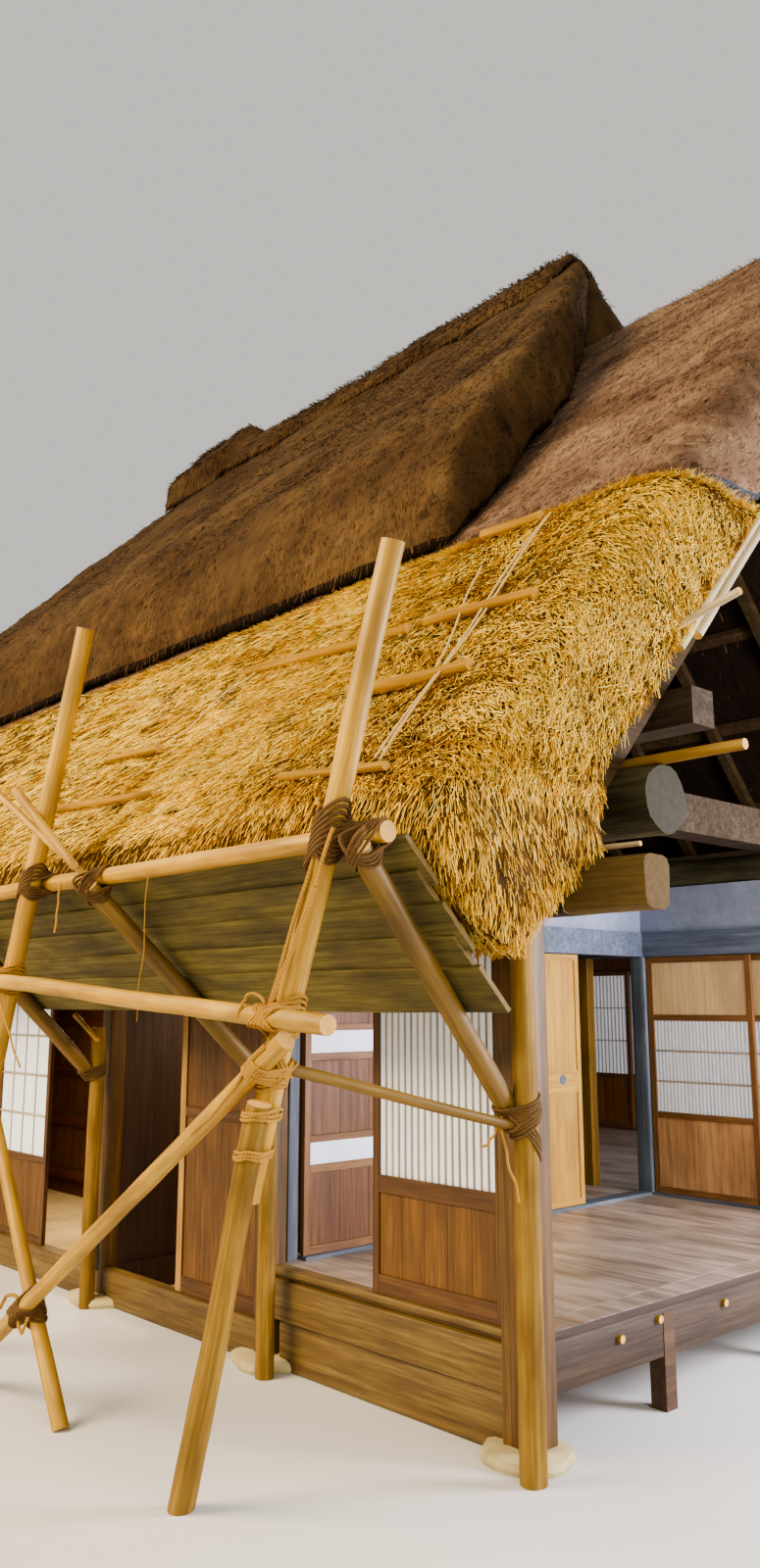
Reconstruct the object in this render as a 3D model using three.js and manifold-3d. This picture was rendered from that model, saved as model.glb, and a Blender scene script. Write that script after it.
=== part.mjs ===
// A Japanese farmhouse (minka) with a steep thatched roof, its right end cut open,
// and the log scaffold lashed along its front. Millimetres, +Z up, +X along the front
// wall to the right, +Y into the house. The origin is the foot of the front right corner post.
import * as THREE from 'three';
import { mergeVertices } from 'three/addons/utils/BufferGeometryUtils.js';
import Module from 'manifold-3d';

const wasm = await Module();
wasm.setup();

// Plan and heights
const BAY = 1820;
const LENGTH = 6 * BAY;
const DEPTH = 4 * BAY;
const MID_Y = DEPTH / 2;
const POST = 130;
const HALF = POST / 2;
const CORNER_LOW = -65;
const CORNER_HIGH = 115;
const GAP = 0.3;
const SILL_TOP = 220;
const KICK_TOP = 250;
const BEAM_TOP = 460;
const THRESHOLD_TOP = 520;
const EARTH_TOP = 30;
const FLOOR_LOW = 470;
const FLOOR_TOP = 510;
const TRACK_TOP = 530;
const LINTEL_LOW = 2300;
const LINTEL_TOP = 2490;
const BAND_TOP = 2830;
const PLATE_LOW = 2330;
const PLATE_TOP = 2570;
const PLATE_OUT = 70;
const PLATE_IN = 120;
const CUT_EDGE = 90;
const PLATE_END = 800;
const RAIL = [1080, 1170];
const ROOM_POSTS = [[-BAY, BAY], [-BAY, MID_Y], [0, MID_Y]];
const JAMB = { x: -BAY - 30, y: 150, half: 40 };

// Roof timbers
const LOG_LOW = 2700;
const LOG_TOP = 3030;
const LOG_Y = 355;
const LOG_LEFT = -10700;
const LOG_RIGHT = 645;
const PURLIN_LOW = 3280;
const PURLIN_TOP = 3470;
const PURLIN_WIDE = 190;
const RIDGE_POLE_R = 80;

// Roof, measured upright: the underside of the thatch rises at PITCH from UNDER_Z at the front wall line
const PITCH = 1.09;
const UNDER_Z = 2919;
const BASE_THICK = 940;
const OLD_THICK = 870;
const FRAME_THICK = 163;
const BATTEN_THICK = 50;
const VERGE_X = 500;
const RIDGE_END = -8200;
const HIP_PLAN = 0.793;
const HIP_PITCH = PITCH / HIP_PLAN;
const EAVE_OUT = 720;
const NEW_TOP_Z = 4700;
const NEW_PROUD = 60;
const NEW_END = 560;
const FRAME_LOW_Y = 126;
const OLD_LOW_Y = 790;
const OLD_ROUND = 380;
const VERGE_ROUND = 240;
const UNDER_RIDGE = UNDER_Z + PITCH * MID_Y;
// Plan line where the old layer ends, stripped to its right
const OLD_EDGE = [
  [-1200, OLD_LOW_Y], [-1120, 1200], [-1180, 1700], [-1350, 2400], [-1700, 3000], [-2100, MID_Y - GAP]];
const RAFTER_HALF = 45;
const RAFTER_STEP = 910;
const BATTEN_WIDE = 55;
const BATTEN_STEP = 640;
const HIP_BATTEN_STEP = 560;
const CAP_END = -2150;
const END_CAP = -7100;

// Doors
const DOOR_THICK = 30;
const PANEL_THICK = 10;
const STILE = 45;
const DOOR_TOP = 2322;
const INNER_DOOR_TOP = 2294;

// Scaffold
const OUTER_Y = -1293;
const POLE_R = 50;
const BRACE_FOOT = [-250, 1530];
const BRACE_HEAD = [-1270, 2519];
const LEDGER_R = 45;
// How far behind the rail's and the cross poles' middle line the lashed outer poles lie, with their facets
const LASH_R = 49.4;
const LAP_BOARDS = 5;
const LAP_WIDTH = 250;
const LAP_STEP = 158;
const LAP_THICK = 28;
const LAP_TILT = 0.09;

const wood = (color, roughness = 0.75) => new THREE.MeshStandardMaterial({ color, roughness, metalness: 0 });
const MATERIALS = {
  post: wood(0x6d5236),
  agedPost: wood(0x5d6468),
  sill: wood(0x5a3d24),
  board: wood(0x8c5023),
  wallBoard: wood(0x6b3f22),
  floor: wood(0x96806a),
  beam: wood(0x4a3a2c),
  log: wood(0x54463a),
  roofPole: wood(0x7d6644),
  paper: wood(0xf0eee8, 0.9),
  plaster: wood(0xe4e2dc, 0.95),
  earth: wood(0xb99f6c, 0.95),
  newThatch: wood(0xc8963c, 0.95),
  wornThatch: wood(0x8a5f30, 0.95),
  oldThatch: wood(0x6e3c19, 0.95),
  scaffoldPole: wood(0xc8a55a, 0.7),
  plank: wood(0x6e5f32, 0.85),
};

const house = new THREE.Group();
house.name = 'minka_farmhouse';

function piece(name, geometry, material) {
  const mesh = new THREE.Mesh(geometry, material);
  mesh.name = name;
  house.add(mesh);
}

// Shapes
function box(x0, x1, y0, y1, z0, z1) {
  const geometry = new THREE.BoxGeometry(x1 - x0, y1 - y0, z1 - z0);
  return geometry.translate((x0 + x1) / 2, (y0 + y1) / 2, (z0 + z1) / 2);
}

function outline(points) {
  return new THREE.Shape(points.map(([u, v]) => new THREE.Vector2(u, v)));
}

// An outline in Y and Z drawn along X
function prismX(points, x0, x1) {
  const geometry = new THREE.ExtrudeGeometry(outline(points), { depth: x1 - x0, bevelEnabled: false });
  const turn = new THREE.Matrix4().makeBasis(
    new THREE.Vector3(0, 1, 0), new THREE.Vector3(0, 0, 1), new THREE.Vector3(1, 0, 0));
  return geometry.applyMatrix4(turn).translate(x0, 0, 0);
}

// A round pole from one point to another
function pole(from, to, r0, r1 = r0, sides = 8) {
  const start = new THREE.Vector3(...from);
  const end = new THREE.Vector3(...to);
  const along = end.clone().sub(start);
  const geometry = new THREE.CylinderGeometry(r1, r0, along.length(), sides);
  const turn = new THREE.Quaternion().setFromUnitVectors(new THREE.Vector3(0, 1, 0), along.normalize());
  return geometry.applyQuaternion(turn).translate(
    (from[0] + to[0]) / 2, (from[1] + to[1]) / 2, (from[2] + to[2]) / 2);
}

// A plan outline of upright thickness that lies on the slope z = z0 + a x + b y
function slab(plan, z0, a, b, thick) {
  const geometry = new THREE.ExtrudeGeometry(outline(plan), { depth: thick, bevelEnabled: false });
  const shear = new THREE.Matrix4().set(1, 0, 0, 0, 0, 1, 0, 0, a, b, 1, z0, 0, 0, 0, 1);
  return geometry.applyMatrix4(shear);
}

const rectangle = (x0, x1, y0, y1) => [[x0, y0], [x1, y0], [x1, y1], [x0, y1]];

// Cuts and joins
function solid(geometry) {
  const bare = geometry.clone();
  bare.deleteAttribute('normal');
  bare.deleteAttribute('uv');
  const merged = mergeVertices(bare, 0.001);
  return new wasm.Manifold(new wasm.Mesh({
    numProp: 3,
    vertProperties: new Float32Array(merged.attributes.position.array),
    triVerts: new Uint32Array(merged.index.array),
  }));
}

function surface(body) {
  const mesh = body.getMesh();
  const geometry = new THREE.BufferGeometry();
  geometry.setAttribute('position', new THREE.BufferAttribute(new Float32Array(mesh.vertProperties), 3));
  geometry.setIndex(new THREE.BufferAttribute(new Uint32Array(mesh.triVerts), 1));
  geometry.computeVertexNormals();
  return geometry;
}

const join = (parts) => surface(parts.map(solid).reduce((all, next) => all.add(next)));

function carve(parts, cuts) {
  const body = parts.map(solid).reduce((all, next) => all.add(next));
  return surface(cuts.map(solid).reduce((rest, cut) => rest.subtract(cut), body));
}

// Posts
function squarePost(x, y, z0, z1, half = HALF) {
  return box(x - half, x + half, y - half, y + half, z0, z1);
}

function roomPostHoles() {
  return ROOM_POSTS.map(([x, y]) => squarePost(x, y, -1, LINTEL_LOW, HALF + GAP));
}

function posts() {
  const top = PLATE_LOW - GAP;
  const corner = box(CORNER_LOW, CORNER_HIGH, CORNER_LOW, CORNER_HIGH, 0, top);
  piece('corner_post', corner, MATERIALS.post);
  piece('front_post_1', squarePost(-BAY, 0, 0, top), MATERIALS.post);
  piece('front_post_2', squarePost(-2 * BAY, 0, 0, top), MATERIALS.post);
  const roomPosts = ROOM_POSTS.map(([x, y]) => squarePost(x, y, 0, LINTEL_LOW - GAP));
  const [partition, room, cut] = roomPosts;
  piece('partition_post', partition, MATERIALS.agedPost);
  piece('room_corner_post', room, MATERIALS.agedPost);
  piece('cut_end_post', cut, MATERIALS.agedPost);
  const jamb = squarePost(JAMB.x, JAMB.y, FLOOR_TOP + GAP, LINTEL_LOW - GAP, JAMB.half);
  piece('partition_jamb', jamb, MATERIALS.agedPost);
}

// Floors and what carries them
function floors() {
  const earth = box(-LENGTH + HALF + GAP, -BAY - HALF - GAP, HALF + GAP, DEPTH - HALF - 1, 0, EARTH_TOP);
  piece('earth_floor', earth, MATERIALS.earth);

  const frontBoards = box(-BAY - HALF, CUT_EDGE, HALF + 1, MID_Y + HALF, FLOOR_LOW, FLOOR_TOP);
  const sideTrack = box(-BAY - HALF, -BAY + HALF, 200, MID_Y + HALF, FLOOR_TOP - 5, TRACK_TOP);
  const backTrack = box(-BAY, -HALF, MID_Y - HALF, MID_Y + HALF, FLOOR_TOP - 5, TRACK_TOP);
  const cornerPostHole = box(CORNER_LOW - GAP, CORNER_HIGH + GAP, -100, CORNER_HIGH + GAP, 0, PLATE_LOW);
  const cuts = [...roomPostHoles(), cornerPostHole];
  piece('front_room_floor', carve([frontBoards, sideTrack, backTrack], cuts), MATERIALS.floor);

  const backY = DEPTH - HALF - 1;
  const backBoards = box(-3 * BAY + HALF, CUT_EDGE, MID_Y + HALF + GAP, backY, FLOOR_LOW, FLOOR_TOP);
  const passage = box(-2 * BAY + HALF, -BAY - HALF - GAP, BAY + 60, MID_Y + HALF + 1, FLOOR_LOW, FLOOR_TOP);
  piece('back_room_floor', carve([backBoards, passage], roomPostHoles()), MATERIALS.floor);
  piece('floor_frame', carve(floorFrameParts(), [...roomPostHoles(), cornerPostHole]), MATERIALS.sill);
}

function floorFrameParts() {
  const top = FLOOR_LOW - GAP;
  const back = DEPTH - HALF - 2;
  const crossLow = 340;
  const parts = [
    box(10, CUT_EDGE - 2, HALF + 2, back, KICK_TOP, top),
    box(-1000, -910, HALF + 2, back, crossLow, top),
    box(-BAY - HALF + 5, -BAY + HALF - 5, HALF + 2, back, crossLow, top),
    box(-2 * BAY + 70, -2 * BAY + 160, BAY + 70, back, crossLow, top),
    box(-3 * BAY + 70, -3 * BAY + 160, MID_Y + 70, back, crossLow, top),
    box(-BAY, CUT_EDGE - 2, 300, 380, crossLow, top),
    box(-2 * BAY + 70, CUT_EDGE - 2, 3420, 3510, crossLow, top),
    box(-3 * BAY + 70, CUT_EDGE - 2, 5400, 5490, crossLow, top),
  ];
  for (const x of [49, -955]) {
    for (const y of [1000, 2200, 3465, 5445, 7100]) {
      parts.push(squarePost(x, y, 0, top - 20, 45));
    }
  }
  for (const x of [-2 * BAY + 115, -3 * BAY + 115]) {
    parts.push(squarePost(x, 5445, EARTH_TOP + GAP, top - 20, 45));
  }
  return parts;
}

// Front wall
function frontWall() {
  const left = -BAY + HALF + GAP;
  const right = CORNER_LOW - GAP;
  piece('kickboard', box(left + 50, right, -20, 25, 0, KICK_TOP), MATERIALS.sill);
  piece('sill_beam', box(left, right, -48, 48, KICK_TOP + GAP, BEAM_TOP), MATERIALS.sill);
  const groove = box(left, right, -15, 40, BEAM_TOP + GAP, BEAM_TOP + 25);
  const tread = box(left, right, -42, 55, BEAM_TOP + 20, THRESHOLD_TOP);
  piece('front_threshold', join([groove, tread]), MATERIALS.sill);
  for (const bay of [2, 3]) {
    const x = -bay * BAY + HALF + GAP;
    piece(`front_sill_${bay}`, box(x, x + BAY - POST - 2 * GAP, -50, 50, 0, SILL_TOP), MATERIALS.sill);
  }
  piece('front_wall_left', leftBays(), MATERIALS.wallBoard);
  const plate = box(-LENGTH - HALF, PLATE_END, -PLATE_OUT, PLATE_IN, PLATE_LOW, PLATE_TOP);
  piece('front_plate', plate, MATERIALS.beam);
}

// Bays 4 to 6: posts, sill, middle rail and boards as one wall
function leftBays() {
  const top = PLATE_LOW - GAP;
  const parts = [box(-LENGTH, -3 * BAY, -20, 20, 0, top)];
  for (let bay = 3; bay <= 6; bay += 1) {
    parts.push(squarePost(-bay * BAY, 0, 0, top));
  }
  parts.push(box(-LENGTH, -3 * BAY, -50, 50, 0, SILL_TOP));
  parts.push(box(-LENGTH, -3 * BAY, -35, 35, ...RAIL));
  return join(parts);
}

// Back and left walls, with their plates
function farWalls() {
  const top = PLATE_TOP;
  const backParts = [
    box(-LENGTH, HALF, DEPTH - 20, DEPTH + 20, 0, top - 5),
    box(-LENGTH, HALF, DEPTH - 50, DEPTH + 50, 0, SILL_TOP),
    box(-LENGTH, HALF, DEPTH - 35, DEPTH + 35, ...RAIL),
    box(-LENGTH - HALF, PLATE_END, DEPTH - PLATE_IN, DEPTH + PLATE_OUT, PLATE_LOW, top),
  ];
  for (let bay = 0; bay <= 6; bay += 1) {
    backParts.push(squarePost(-bay * BAY, DEPTH, 0, PLATE_LOW + 5));
  }
  const window = box(
    -3 * BAY + HALF, -2 * BAY - HALF, DEPTH - 100, DEPTH + 100, THRESHOLD_TOP, PLATE_LOW - 20);
  piece('back_wall', carve(backParts, [window]), MATERIALS.wallBoard);
  piece('back_shoji', backShoji(), MATERIALS.paper);

  const y0 = HALF + GAP;
  const y1 = DEPTH - HALF - GAP;
  const leftParts = [
    box(-LENGTH - 20, -LENGTH + 20, y0, y1, 0, PLATE_LOW + 5),
    box(-LENGTH - 50, -LENGTH + 50, y0, y1, 0, SILL_TOP),
    box(-LENGTH - 35, -LENGTH + 35, y0, y1, ...RAIL),
    box(-LENGTH - HALF, -LENGTH + HALF, PLATE_IN + GAP, DEPTH - PLATE_IN - GAP, PLATE_LOW, top),
  ];
  for (let bay = 1; bay <= 3; bay += 1) {
    leftParts.push(squarePost(-LENGTH, bay * BAY, 0, PLATE_LOW + 5));
  }
  const plateEnds = [
    box(-LENGTH - 100, -LENGTH + 100, 0, PLATE_IN + GAP, PLATE_LOW - GAP, top + 1),
    box(-LENGTH - 100, -LENGTH + 100, DEPTH - PLATE_IN - GAP, DEPTH, PLATE_LOW - GAP, top + 1),
  ];
  piece('left_wall', carve(leftParts, plateEnds), MATERIALS.wallBoard);
}

// Two papered screens closed side by side in the back wall
function backShoji() {
  const x0 = -3 * BAY + HALF + 5;
  const x1 = -2 * BAY - HALF - 5;
  const middle = (x0 + x1) / 2;
  const z0 = THRESHOLD_TOP + GAP;
  const z1 = PLATE_LOW - 25;
  const left = screen(x0, middle + 20, z0, z1, [1085]);
  const right = screen(middle - 20, x1, z0, z1, [1085]);
  left.translate(0, DEPTH - 14, 0);
  right.translate(0, DEPTH + 14, 0);
  return join([left, right]);
}

// Partitions
function partitions() {
  const lintel = [
    box(-BAY - 60, -BAY + 60, PLATE_IN + GAP, MID_Y + 60, LINTEL_LOW, LINTEL_TOP),
    box(-BAY - 60, CUT_EDGE, MID_Y - 60, MID_Y + 60, LINTEL_LOW, LINTEL_TOP),
    box(-2 * BAY, -BAY, MID_Y - 60, MID_Y + 60, LINTEL_LOW, LINTEL_TOP),
  ];
  piece('room_lintel', join(lintel), MATERIALS.agedPost);
  const band = [
    box(-BAY - 30, -BAY + 30, PLATE_IN + GAP, MID_Y + 30, LINTEL_TOP + GAP, BAND_TOP),
    box(-2 * BAY + 120, CUT_EDGE - 10, MID_Y - 30, MID_Y + 30, LINTEL_TOP + GAP, BAND_TOP),
  ];
  const underLog = box(-BAY - 50, -BAY + 50, 0, 560, LOG_LOW - 10, BAND_TOP + 10);
  piece('plaster_band', carve(band, [underLog]), MATERIALS.plaster);

  const jambX = -2370;
  const backWallParts = [
    box(-2 * BAY, jambX, MID_Y - 15, MID_Y + 15, FLOOR_TOP + GAP, LINTEL_LOW - GAP),
    box(jambX - 45, jambX + 45, MID_Y - 45, MID_Y + 45, FLOOR_TOP + GAP, LINTEL_LOW - GAP),
  ];
  for (const z of [900, 1400, 1900]) {
    backWallParts.push(box(-2 * BAY, jambX, MID_Y - 28, MID_Y + 28, z, z + 90));
  }
  piece('passage_wall', join(backWallParts), MATERIALS.wallBoard);

  const domaTop = PLATE_TOP - 4;
  const domaParts = [box(-5 * BAY, -BAY - HALF - GAP, BAY - 20, BAY + 20, EARTH_TOP + GAP, domaTop)];
  for (const z of [180, 700, 1200, 1700, 2200]) {
    domaParts.push(box(-5 * BAY, -BAY - HALF - GAP, BAY - 45, BAY + 45, z, z + 100));
  }
  piece('doma_back_wall', join(domaParts), MATERIALS.wallBoard);
  const sideWall = [
    box(-2 * BAY - 20, -2 * BAY + 20, PLATE_IN + GAP, BAY - 45 - GAP, EARTH_TOP + GAP, domaTop),
    box(-2 * BAY - 20, -2 * BAY + 20, HALF + GAP, PLATE_IN + 5, EARTH_TOP + GAP, PLATE_LOW - GAP),
    box(-2 * BAY - 45, -2 * BAY + 45, HALF + GAP, BAY - 45 - GAP, EARTH_TOP + GAP, SILL_TOP),
  ];
  piece('doma_side_wall', join(sideWall), MATERIALS.wallBoard);
}

// Doors: a frame of stiles and rails round thinner panels, standing in the plane y = 0
function screen(x0, x1, z0, z1, rails) {
  const levels = [z0, ...rails, z1];
  const cuts = [];
  for (let i = 0; i < levels.length - 1; i += 1) {
    const low = levels[i] + STILE;
    const high = levels[i + 1] - (i === levels.length - 2 ? STILE : 0);
    cuts.push(box(x0 + STILE, x1 - STILE, -DOOR_THICK, -PANEL_THICK / 2, low, high));
    cuts.push(box(x0 + STILE, x1 - STILE, PANEL_THICK / 2, DOOR_THICK, low, high));
  }
  return carve([box(x0, x1, -DOOR_THICK / 2, DOOR_THICK / 2, z0, z1)], cuts);
}

function sideScreen(x, y0, y1, z0, z1, rails) {
  const door = screen(y0, y1, z0, z1, rails);
  return door.applyMatrix4(new THREE.Matrix4().makeRotationZ(Math.PI / 2)).translate(x, 0, 0);
}

function doors() {
  const frontShoji = screen(-955, -75, THRESHOLD_TOP + GAP, DOOR_TOP, [1000, 1085]);
  piece('front_shoji', frontShoji, MATERIALS.paper);
  const boardDoor = screen(-2755, -1895, SILL_TOP + GAP, DOOR_TOP, []);
  piece('front_board_door', boardDoor, MATERIALS.board);
  const whiteDoor = screen(-5385, -4530, SILL_TOP + GAP, DOOR_TOP, [780]);
  piece('front_white_door', whiteDoor, MATERIALS.paper);

  const z0 = TRACK_TOP + GAP;
  const z1 = INNER_DOOR_TOP;
  const near = -BAY + 20;
  const far = -BAY - 20;
  const stripes = [975, 1145, 1605, 1780];
  piece('stripe_door_front', sideScreen(near, 205, 985, z0, z1, stripes), MATERIALS.board);
  piece('stripe_door_rear', sideScreen(far, 960, 1745, z0, z1, stripes), MATERIALS.board);
  piece('pull_door', sideScreen(near, 1895, 2790, z0, z1, [1300]), MATERIALS.board);
  const bands = [1080, 1807];
  piece('obi_shoji_left', screen(-1745, -850, z0, z1, bands).translate(0, MID_Y - 20, 0), MATERIALS.board);
  piece('obi_shoji_right', screen(-970, -75, z0, z1, bands).translate(0, MID_Y + 20, 0), MATERIALS.board);
}

// Roof timbers
function roundLog(x0, x1, y, low, high, sides = 12) {
  const radius = (high - low) / 2;
  const corner = radius / Math.cos(Math.PI / sides);
  const points = [];
  for (let i = 0; i < sides; i += 1) {
    const angle = ((i + 0.5) * 2 * Math.PI) / sides;
    points.push([y + corner * Math.sin(angle), low + radius - corner * Math.cos(angle)]);
  }
  return prismX(points, x0, x1);
}

function timbers() {
  for (const bay of [2, 4]) {
    const x = -bay * BAY;
    const shape = [
      [25, PLATE_TOP + GAP], [DEPTH - 25, PLATE_TOP + GAP], [DEPTH - 25, LOG_LOW - GAP],
      [DEPTH - 560, LOG_LOW - GAP], [MID_Y + 300, BAND_TOP - GAP], [MID_Y - 300, BAND_TOP - GAP],
      [560, LOG_LOW - GAP], [25, LOG_LOW - GAP]];
    piece(`tie_beam_${bay}`, prismX(shape, x - 100, x + 100), MATERIALS.beam);
  }
  const stubPole = pole([-480, LOG_Y - 10, LOG_TOP + 22], [1065, LOG_Y - 10, LOG_TOP + 22], 30, 26);
  const frontLog = roundLog(LOG_LEFT, LOG_RIGHT, LOG_Y, LOG_LOW, LOG_TOP);
  piece('front_log', join([frontLog, stubPole]), MATERIALS.log);
  piece('middle_log', roundLog(LOG_LEFT, 700, MID_Y, BAND_TOP + GAP, LOG_TOP), MATERIALS.log);
  const backLog = roundLog(LOG_LEFT, LOG_RIGHT, DEPTH - LOG_Y, LOG_LOW, LOG_TOP);
  piece('back_log', backLog, MATERIALS.log);
  piece('purlin_frame', purlinFrame(), MATERIALS.beam);
  const poleZ = UNDER_RIDGE - FRAME_THICK - RIDGE_POLE_R * Math.hypot(1, PITCH) + 2;
  const poleEnds = [[RIDGE_END + 150, MID_Y, poleZ], [420, MID_Y, poleZ]];
  piece('ridge_pole', pole(...poleEnds, RIDGE_POLE_R, RIDGE_POLE_R, 12), MATERIALS.roofPole);
}

// Height of the front slope's frame, measured on its underside
const frameUnder = (y) => UNDER_Z + PITCH * y - FRAME_THICK;

function purlinFrame() {
  const y0 = (PURLIN_TOP + 1 - (UNDER_Z - FRAME_THICK)) / PITCH;
  const y1 = y0 + PURLIN_WIDE;
  const endX = RIDGE_END - (UNDER_RIDGE - FRAME_THICK - PURLIN_TOP - 1) / HIP_PITCH;
  const parts = [
    box(endX, 620, y0, y1, PURLIN_LOW, PURLIN_TOP),
    box(endX, 620, DEPTH - y1, DEPTH - y0, PURLIN_LOW, PURLIN_TOP),
    box(endX, endX + PURLIN_WIDE, y0, DEPTH - y0, PURLIN_LOW, PURLIN_TOP),
  ];
  const crossTop = PURLIN_LOW + 5;
  const topY = (crossTop + 20 - (UNDER_Z - FRAME_THICK)) / PITCH;
  for (const x of [-600, -6400]) {
    const shape = [
      [LOG_Y - 40, LOG_TOP + GAP], [DEPTH - LOG_Y + 40, LOG_TOP + GAP],
      [DEPTH - topY, crossTop], [topY, crossTop]];
    parts.push(prismX(shape, x - 110, x + 110));
  }
  return join(parts);
}

// Roof frame: rafters under battens on each slope
const hipX = (y) => RIDGE_END - HIP_PLAN * (MID_Y - y);

function slopeFrame(frontY) {
  const bottom = UNDER_Z - FRAME_THICK;
  const parts = [];
  const rafterThick = FRAME_THICK - BATTEN_THICK + 10;
  for (let x = 430; x > RIDGE_END; x -= RAFTER_STEP) {
    const plan = rectangle(x - RAFTER_HALF, x + RAFTER_HALF, frontY, MID_Y - GAP);
    parts.push(slab(plan, bottom, 0, PITCH, rafterThick));
  }
  const battenLow = UNDER_Z - BATTEN_THICK;
  for (let y = 230; y < MID_Y; y += BATTEN_STEP) {
    const plan = rectangle(hipX(y) + 60, 450, y, y + BATTEN_WIDE);
    parts.push(slab(plan, battenLow, 0, PITCH, BATTEN_THICK - 0.5));
  }
  return join(parts);
}

function mirrored(geometry) {
  const flip = new THREE.Matrix4().makeScale(1, -1, 1).setPosition(0, DEPTH, 0);
  const body = solid(geometry).transform(flip.elements);
  return surface(body);
}

function hipFrame() {
  const bottom = UNDER_RIDGE - FRAME_THICK - HIP_PITCH * RIDGE_END;
  const parts = [];
  for (const y of [MID_Y - 1900, MID_Y, MID_Y + 1900]) {
    const reach = MID_Y - Math.abs(MID_Y - y);
    const plan = rectangle(-11300, hipX(reach) - 90, y - RAFTER_HALF, y + RAFTER_HALF);
    parts.push(slab(plan, bottom, HIP_PITCH, 0, FRAME_THICK - BATTEN_THICK + 10));
  }
  for (let x = -11200; x < RIDGE_END - 300; x += HIP_BATTEN_STEP) {
    const half = (RIDGE_END - x) / HIP_PLAN - 90;
    const plan = rectangle(x, x + 50, MID_Y - half, MID_Y + half);
    parts.push(slab(plan, bottom + FRAME_THICK - BATTEN_THICK, HIP_PITCH, 0, BATTEN_THICK - 0.5));
  }
  return join(parts);
}

function roofFrames() {
  piece('roof_frame_front', slopeFrame(FRAME_LOW_Y), MATERIALS.roofPole);
  piece('roof_frame_back', mirrored(slopeFrame(FRAME_LOW_Y)), MATERIALS.roofPole);
  piece('roof_frame_left', hipFrame(), MATERIALS.roofPole);
}

// Thatch
const onSlope = (y, rise) => UNDER_Z + rise + PITCH * y;

// Where the slope that lies rise above the underside reaches the level top of the new reed
const levelY = (rise) => (NEW_TOP_Z - UNDER_Z - rise) / PITCH;

const curve = (points, steps) => {
  const line = new THREE.CubicBezierCurve(...points.map(([u, v]) => new THREE.Vector2(u, v)));
  return line.getPoints(steps).map((point) => [point.x, point.y]);
};

// The eave in Y and Z: a full belly, trimmed underneath, that sits on the wall plate
function eaveSection(rise) {
  const belly = curve([[-870, onSlope(-870, rise)], [-1110, 2800], [-1080, 2400], [-560, 2144]], 9);
  return [...belly, [-70, PLATE_TOP + GAP], [20, PLATE_TOP + GAP], [20, onSlope(20, 0)]];
}

// Cuts the sharp edge between the top of a slope and its end at X = end into a round one
function vergeCut(rise, end, y0, y1) {
  const round = curve([
    [end - VERGE_ROUND, UNDER_Z + rise], [end - VERGE_ROUND / 2, UNDER_Z + rise],
    [end, UNDER_Z + rise - VERGE_ROUND / 2], [end, UNDER_Z + rise - VERGE_ROUND * 1.2]], 4);
  const outside = [[end + 20, UNDER_Z + rise - VERGE_ROUND * 1.2], [end + 20, UNDER_Z + rise + 40]];
  const shape = outline([...round, ...outside, [end - VERGE_ROUND, UNDER_Z + rise + 40]]);
  const geometry = new THREE.ExtrudeGeometry(shape, { depth: y1 - y0, bevelEnabled: false });
  const turn = new THREE.Matrix4().set(1, 0, 0, 0, 0, 0, -1, y1, 0, 1, -PITCH, PITCH * y1, 0, 0, 0, 1);
  return geometry.applyMatrix4(turn);
}

function newThatch() {
  const rise = BASE_THICK + NEW_PROUD;
  const section = [...eaveSection(rise), [levelY(0), NEW_TOP_Z], [levelY(rise), NEW_TOP_Z]];
  const low = -1300;
  const high = levelY(0) + 100;
  const beyondHip = slab(
    [[hipX(low) + 3, low], [hipX(high) + 3, high], [-13000, high], [-13000, low]], 1000, 0, 0, 4500);
  return carve([prismX(section, -12600, NEW_END)], [beyondHip, vergeCut(rise, NEW_END, low, high)]);
}

function wornThatch() {
  const low = levelY(BASE_THICK) - 100;
  const plan = [[VERGE_X, low], [VERGE_X, MID_Y - GAP], [RIDGE_END, MID_Y - GAP], [hipX(low), low]];
  const below = box(-13000, 1000, 0, MID_Y, 1000, NEW_TOP_Z + GAP);
  return carve([slab(plan, UNDER_Z, 0, PITCH, BASE_THICK)], [below, vergeCut(BASE_THICK, VERGE_X, 0, MID_Y)]);
}

// The old layer in Y and Z: its foot rises in a round to the full thickness
function oldFrontLayer() {
  const base = BASE_THICK + GAP;
  const top = base + OLD_THICK;
  const foot = curve([
    [OLD_LOW_Y, onSlope(OLD_LOW_Y, base)], [OLD_LOW_Y - 10, onSlope(OLD_LOW_Y, top) - 250],
    [OLD_LOW_Y + OLD_ROUND / 3, onSlope(OLD_LOW_Y, top) + 60],
    [OLD_LOW_Y + OLD_ROUND, onSlope(OLD_LOW_Y + OLD_ROUND, top)]], 6);
  const ridge = MID_Y - GAP;
  const section = [...foot, [ridge, onSlope(ridge, top)], [ridge, onSlope(ridge, base)]];
  const stripped = slab([[700, 0], ...OLD_EDGE, [-2100, MID_Y + 50], [700, MID_Y + 50]], 4000, 0, 0, 6000);
  const beyondHip = slab(
    [[RIDGE_END, MID_Y + 50], [RIDGE_END, ridge], [hipX(0), 0], [-13000, 0], [-13000, MID_Y + 50]],
    4000, 0, 0, 6000);
  return carve([prismX(section, -12000, 0)], [stripped, beyondHip]);
}

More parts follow.
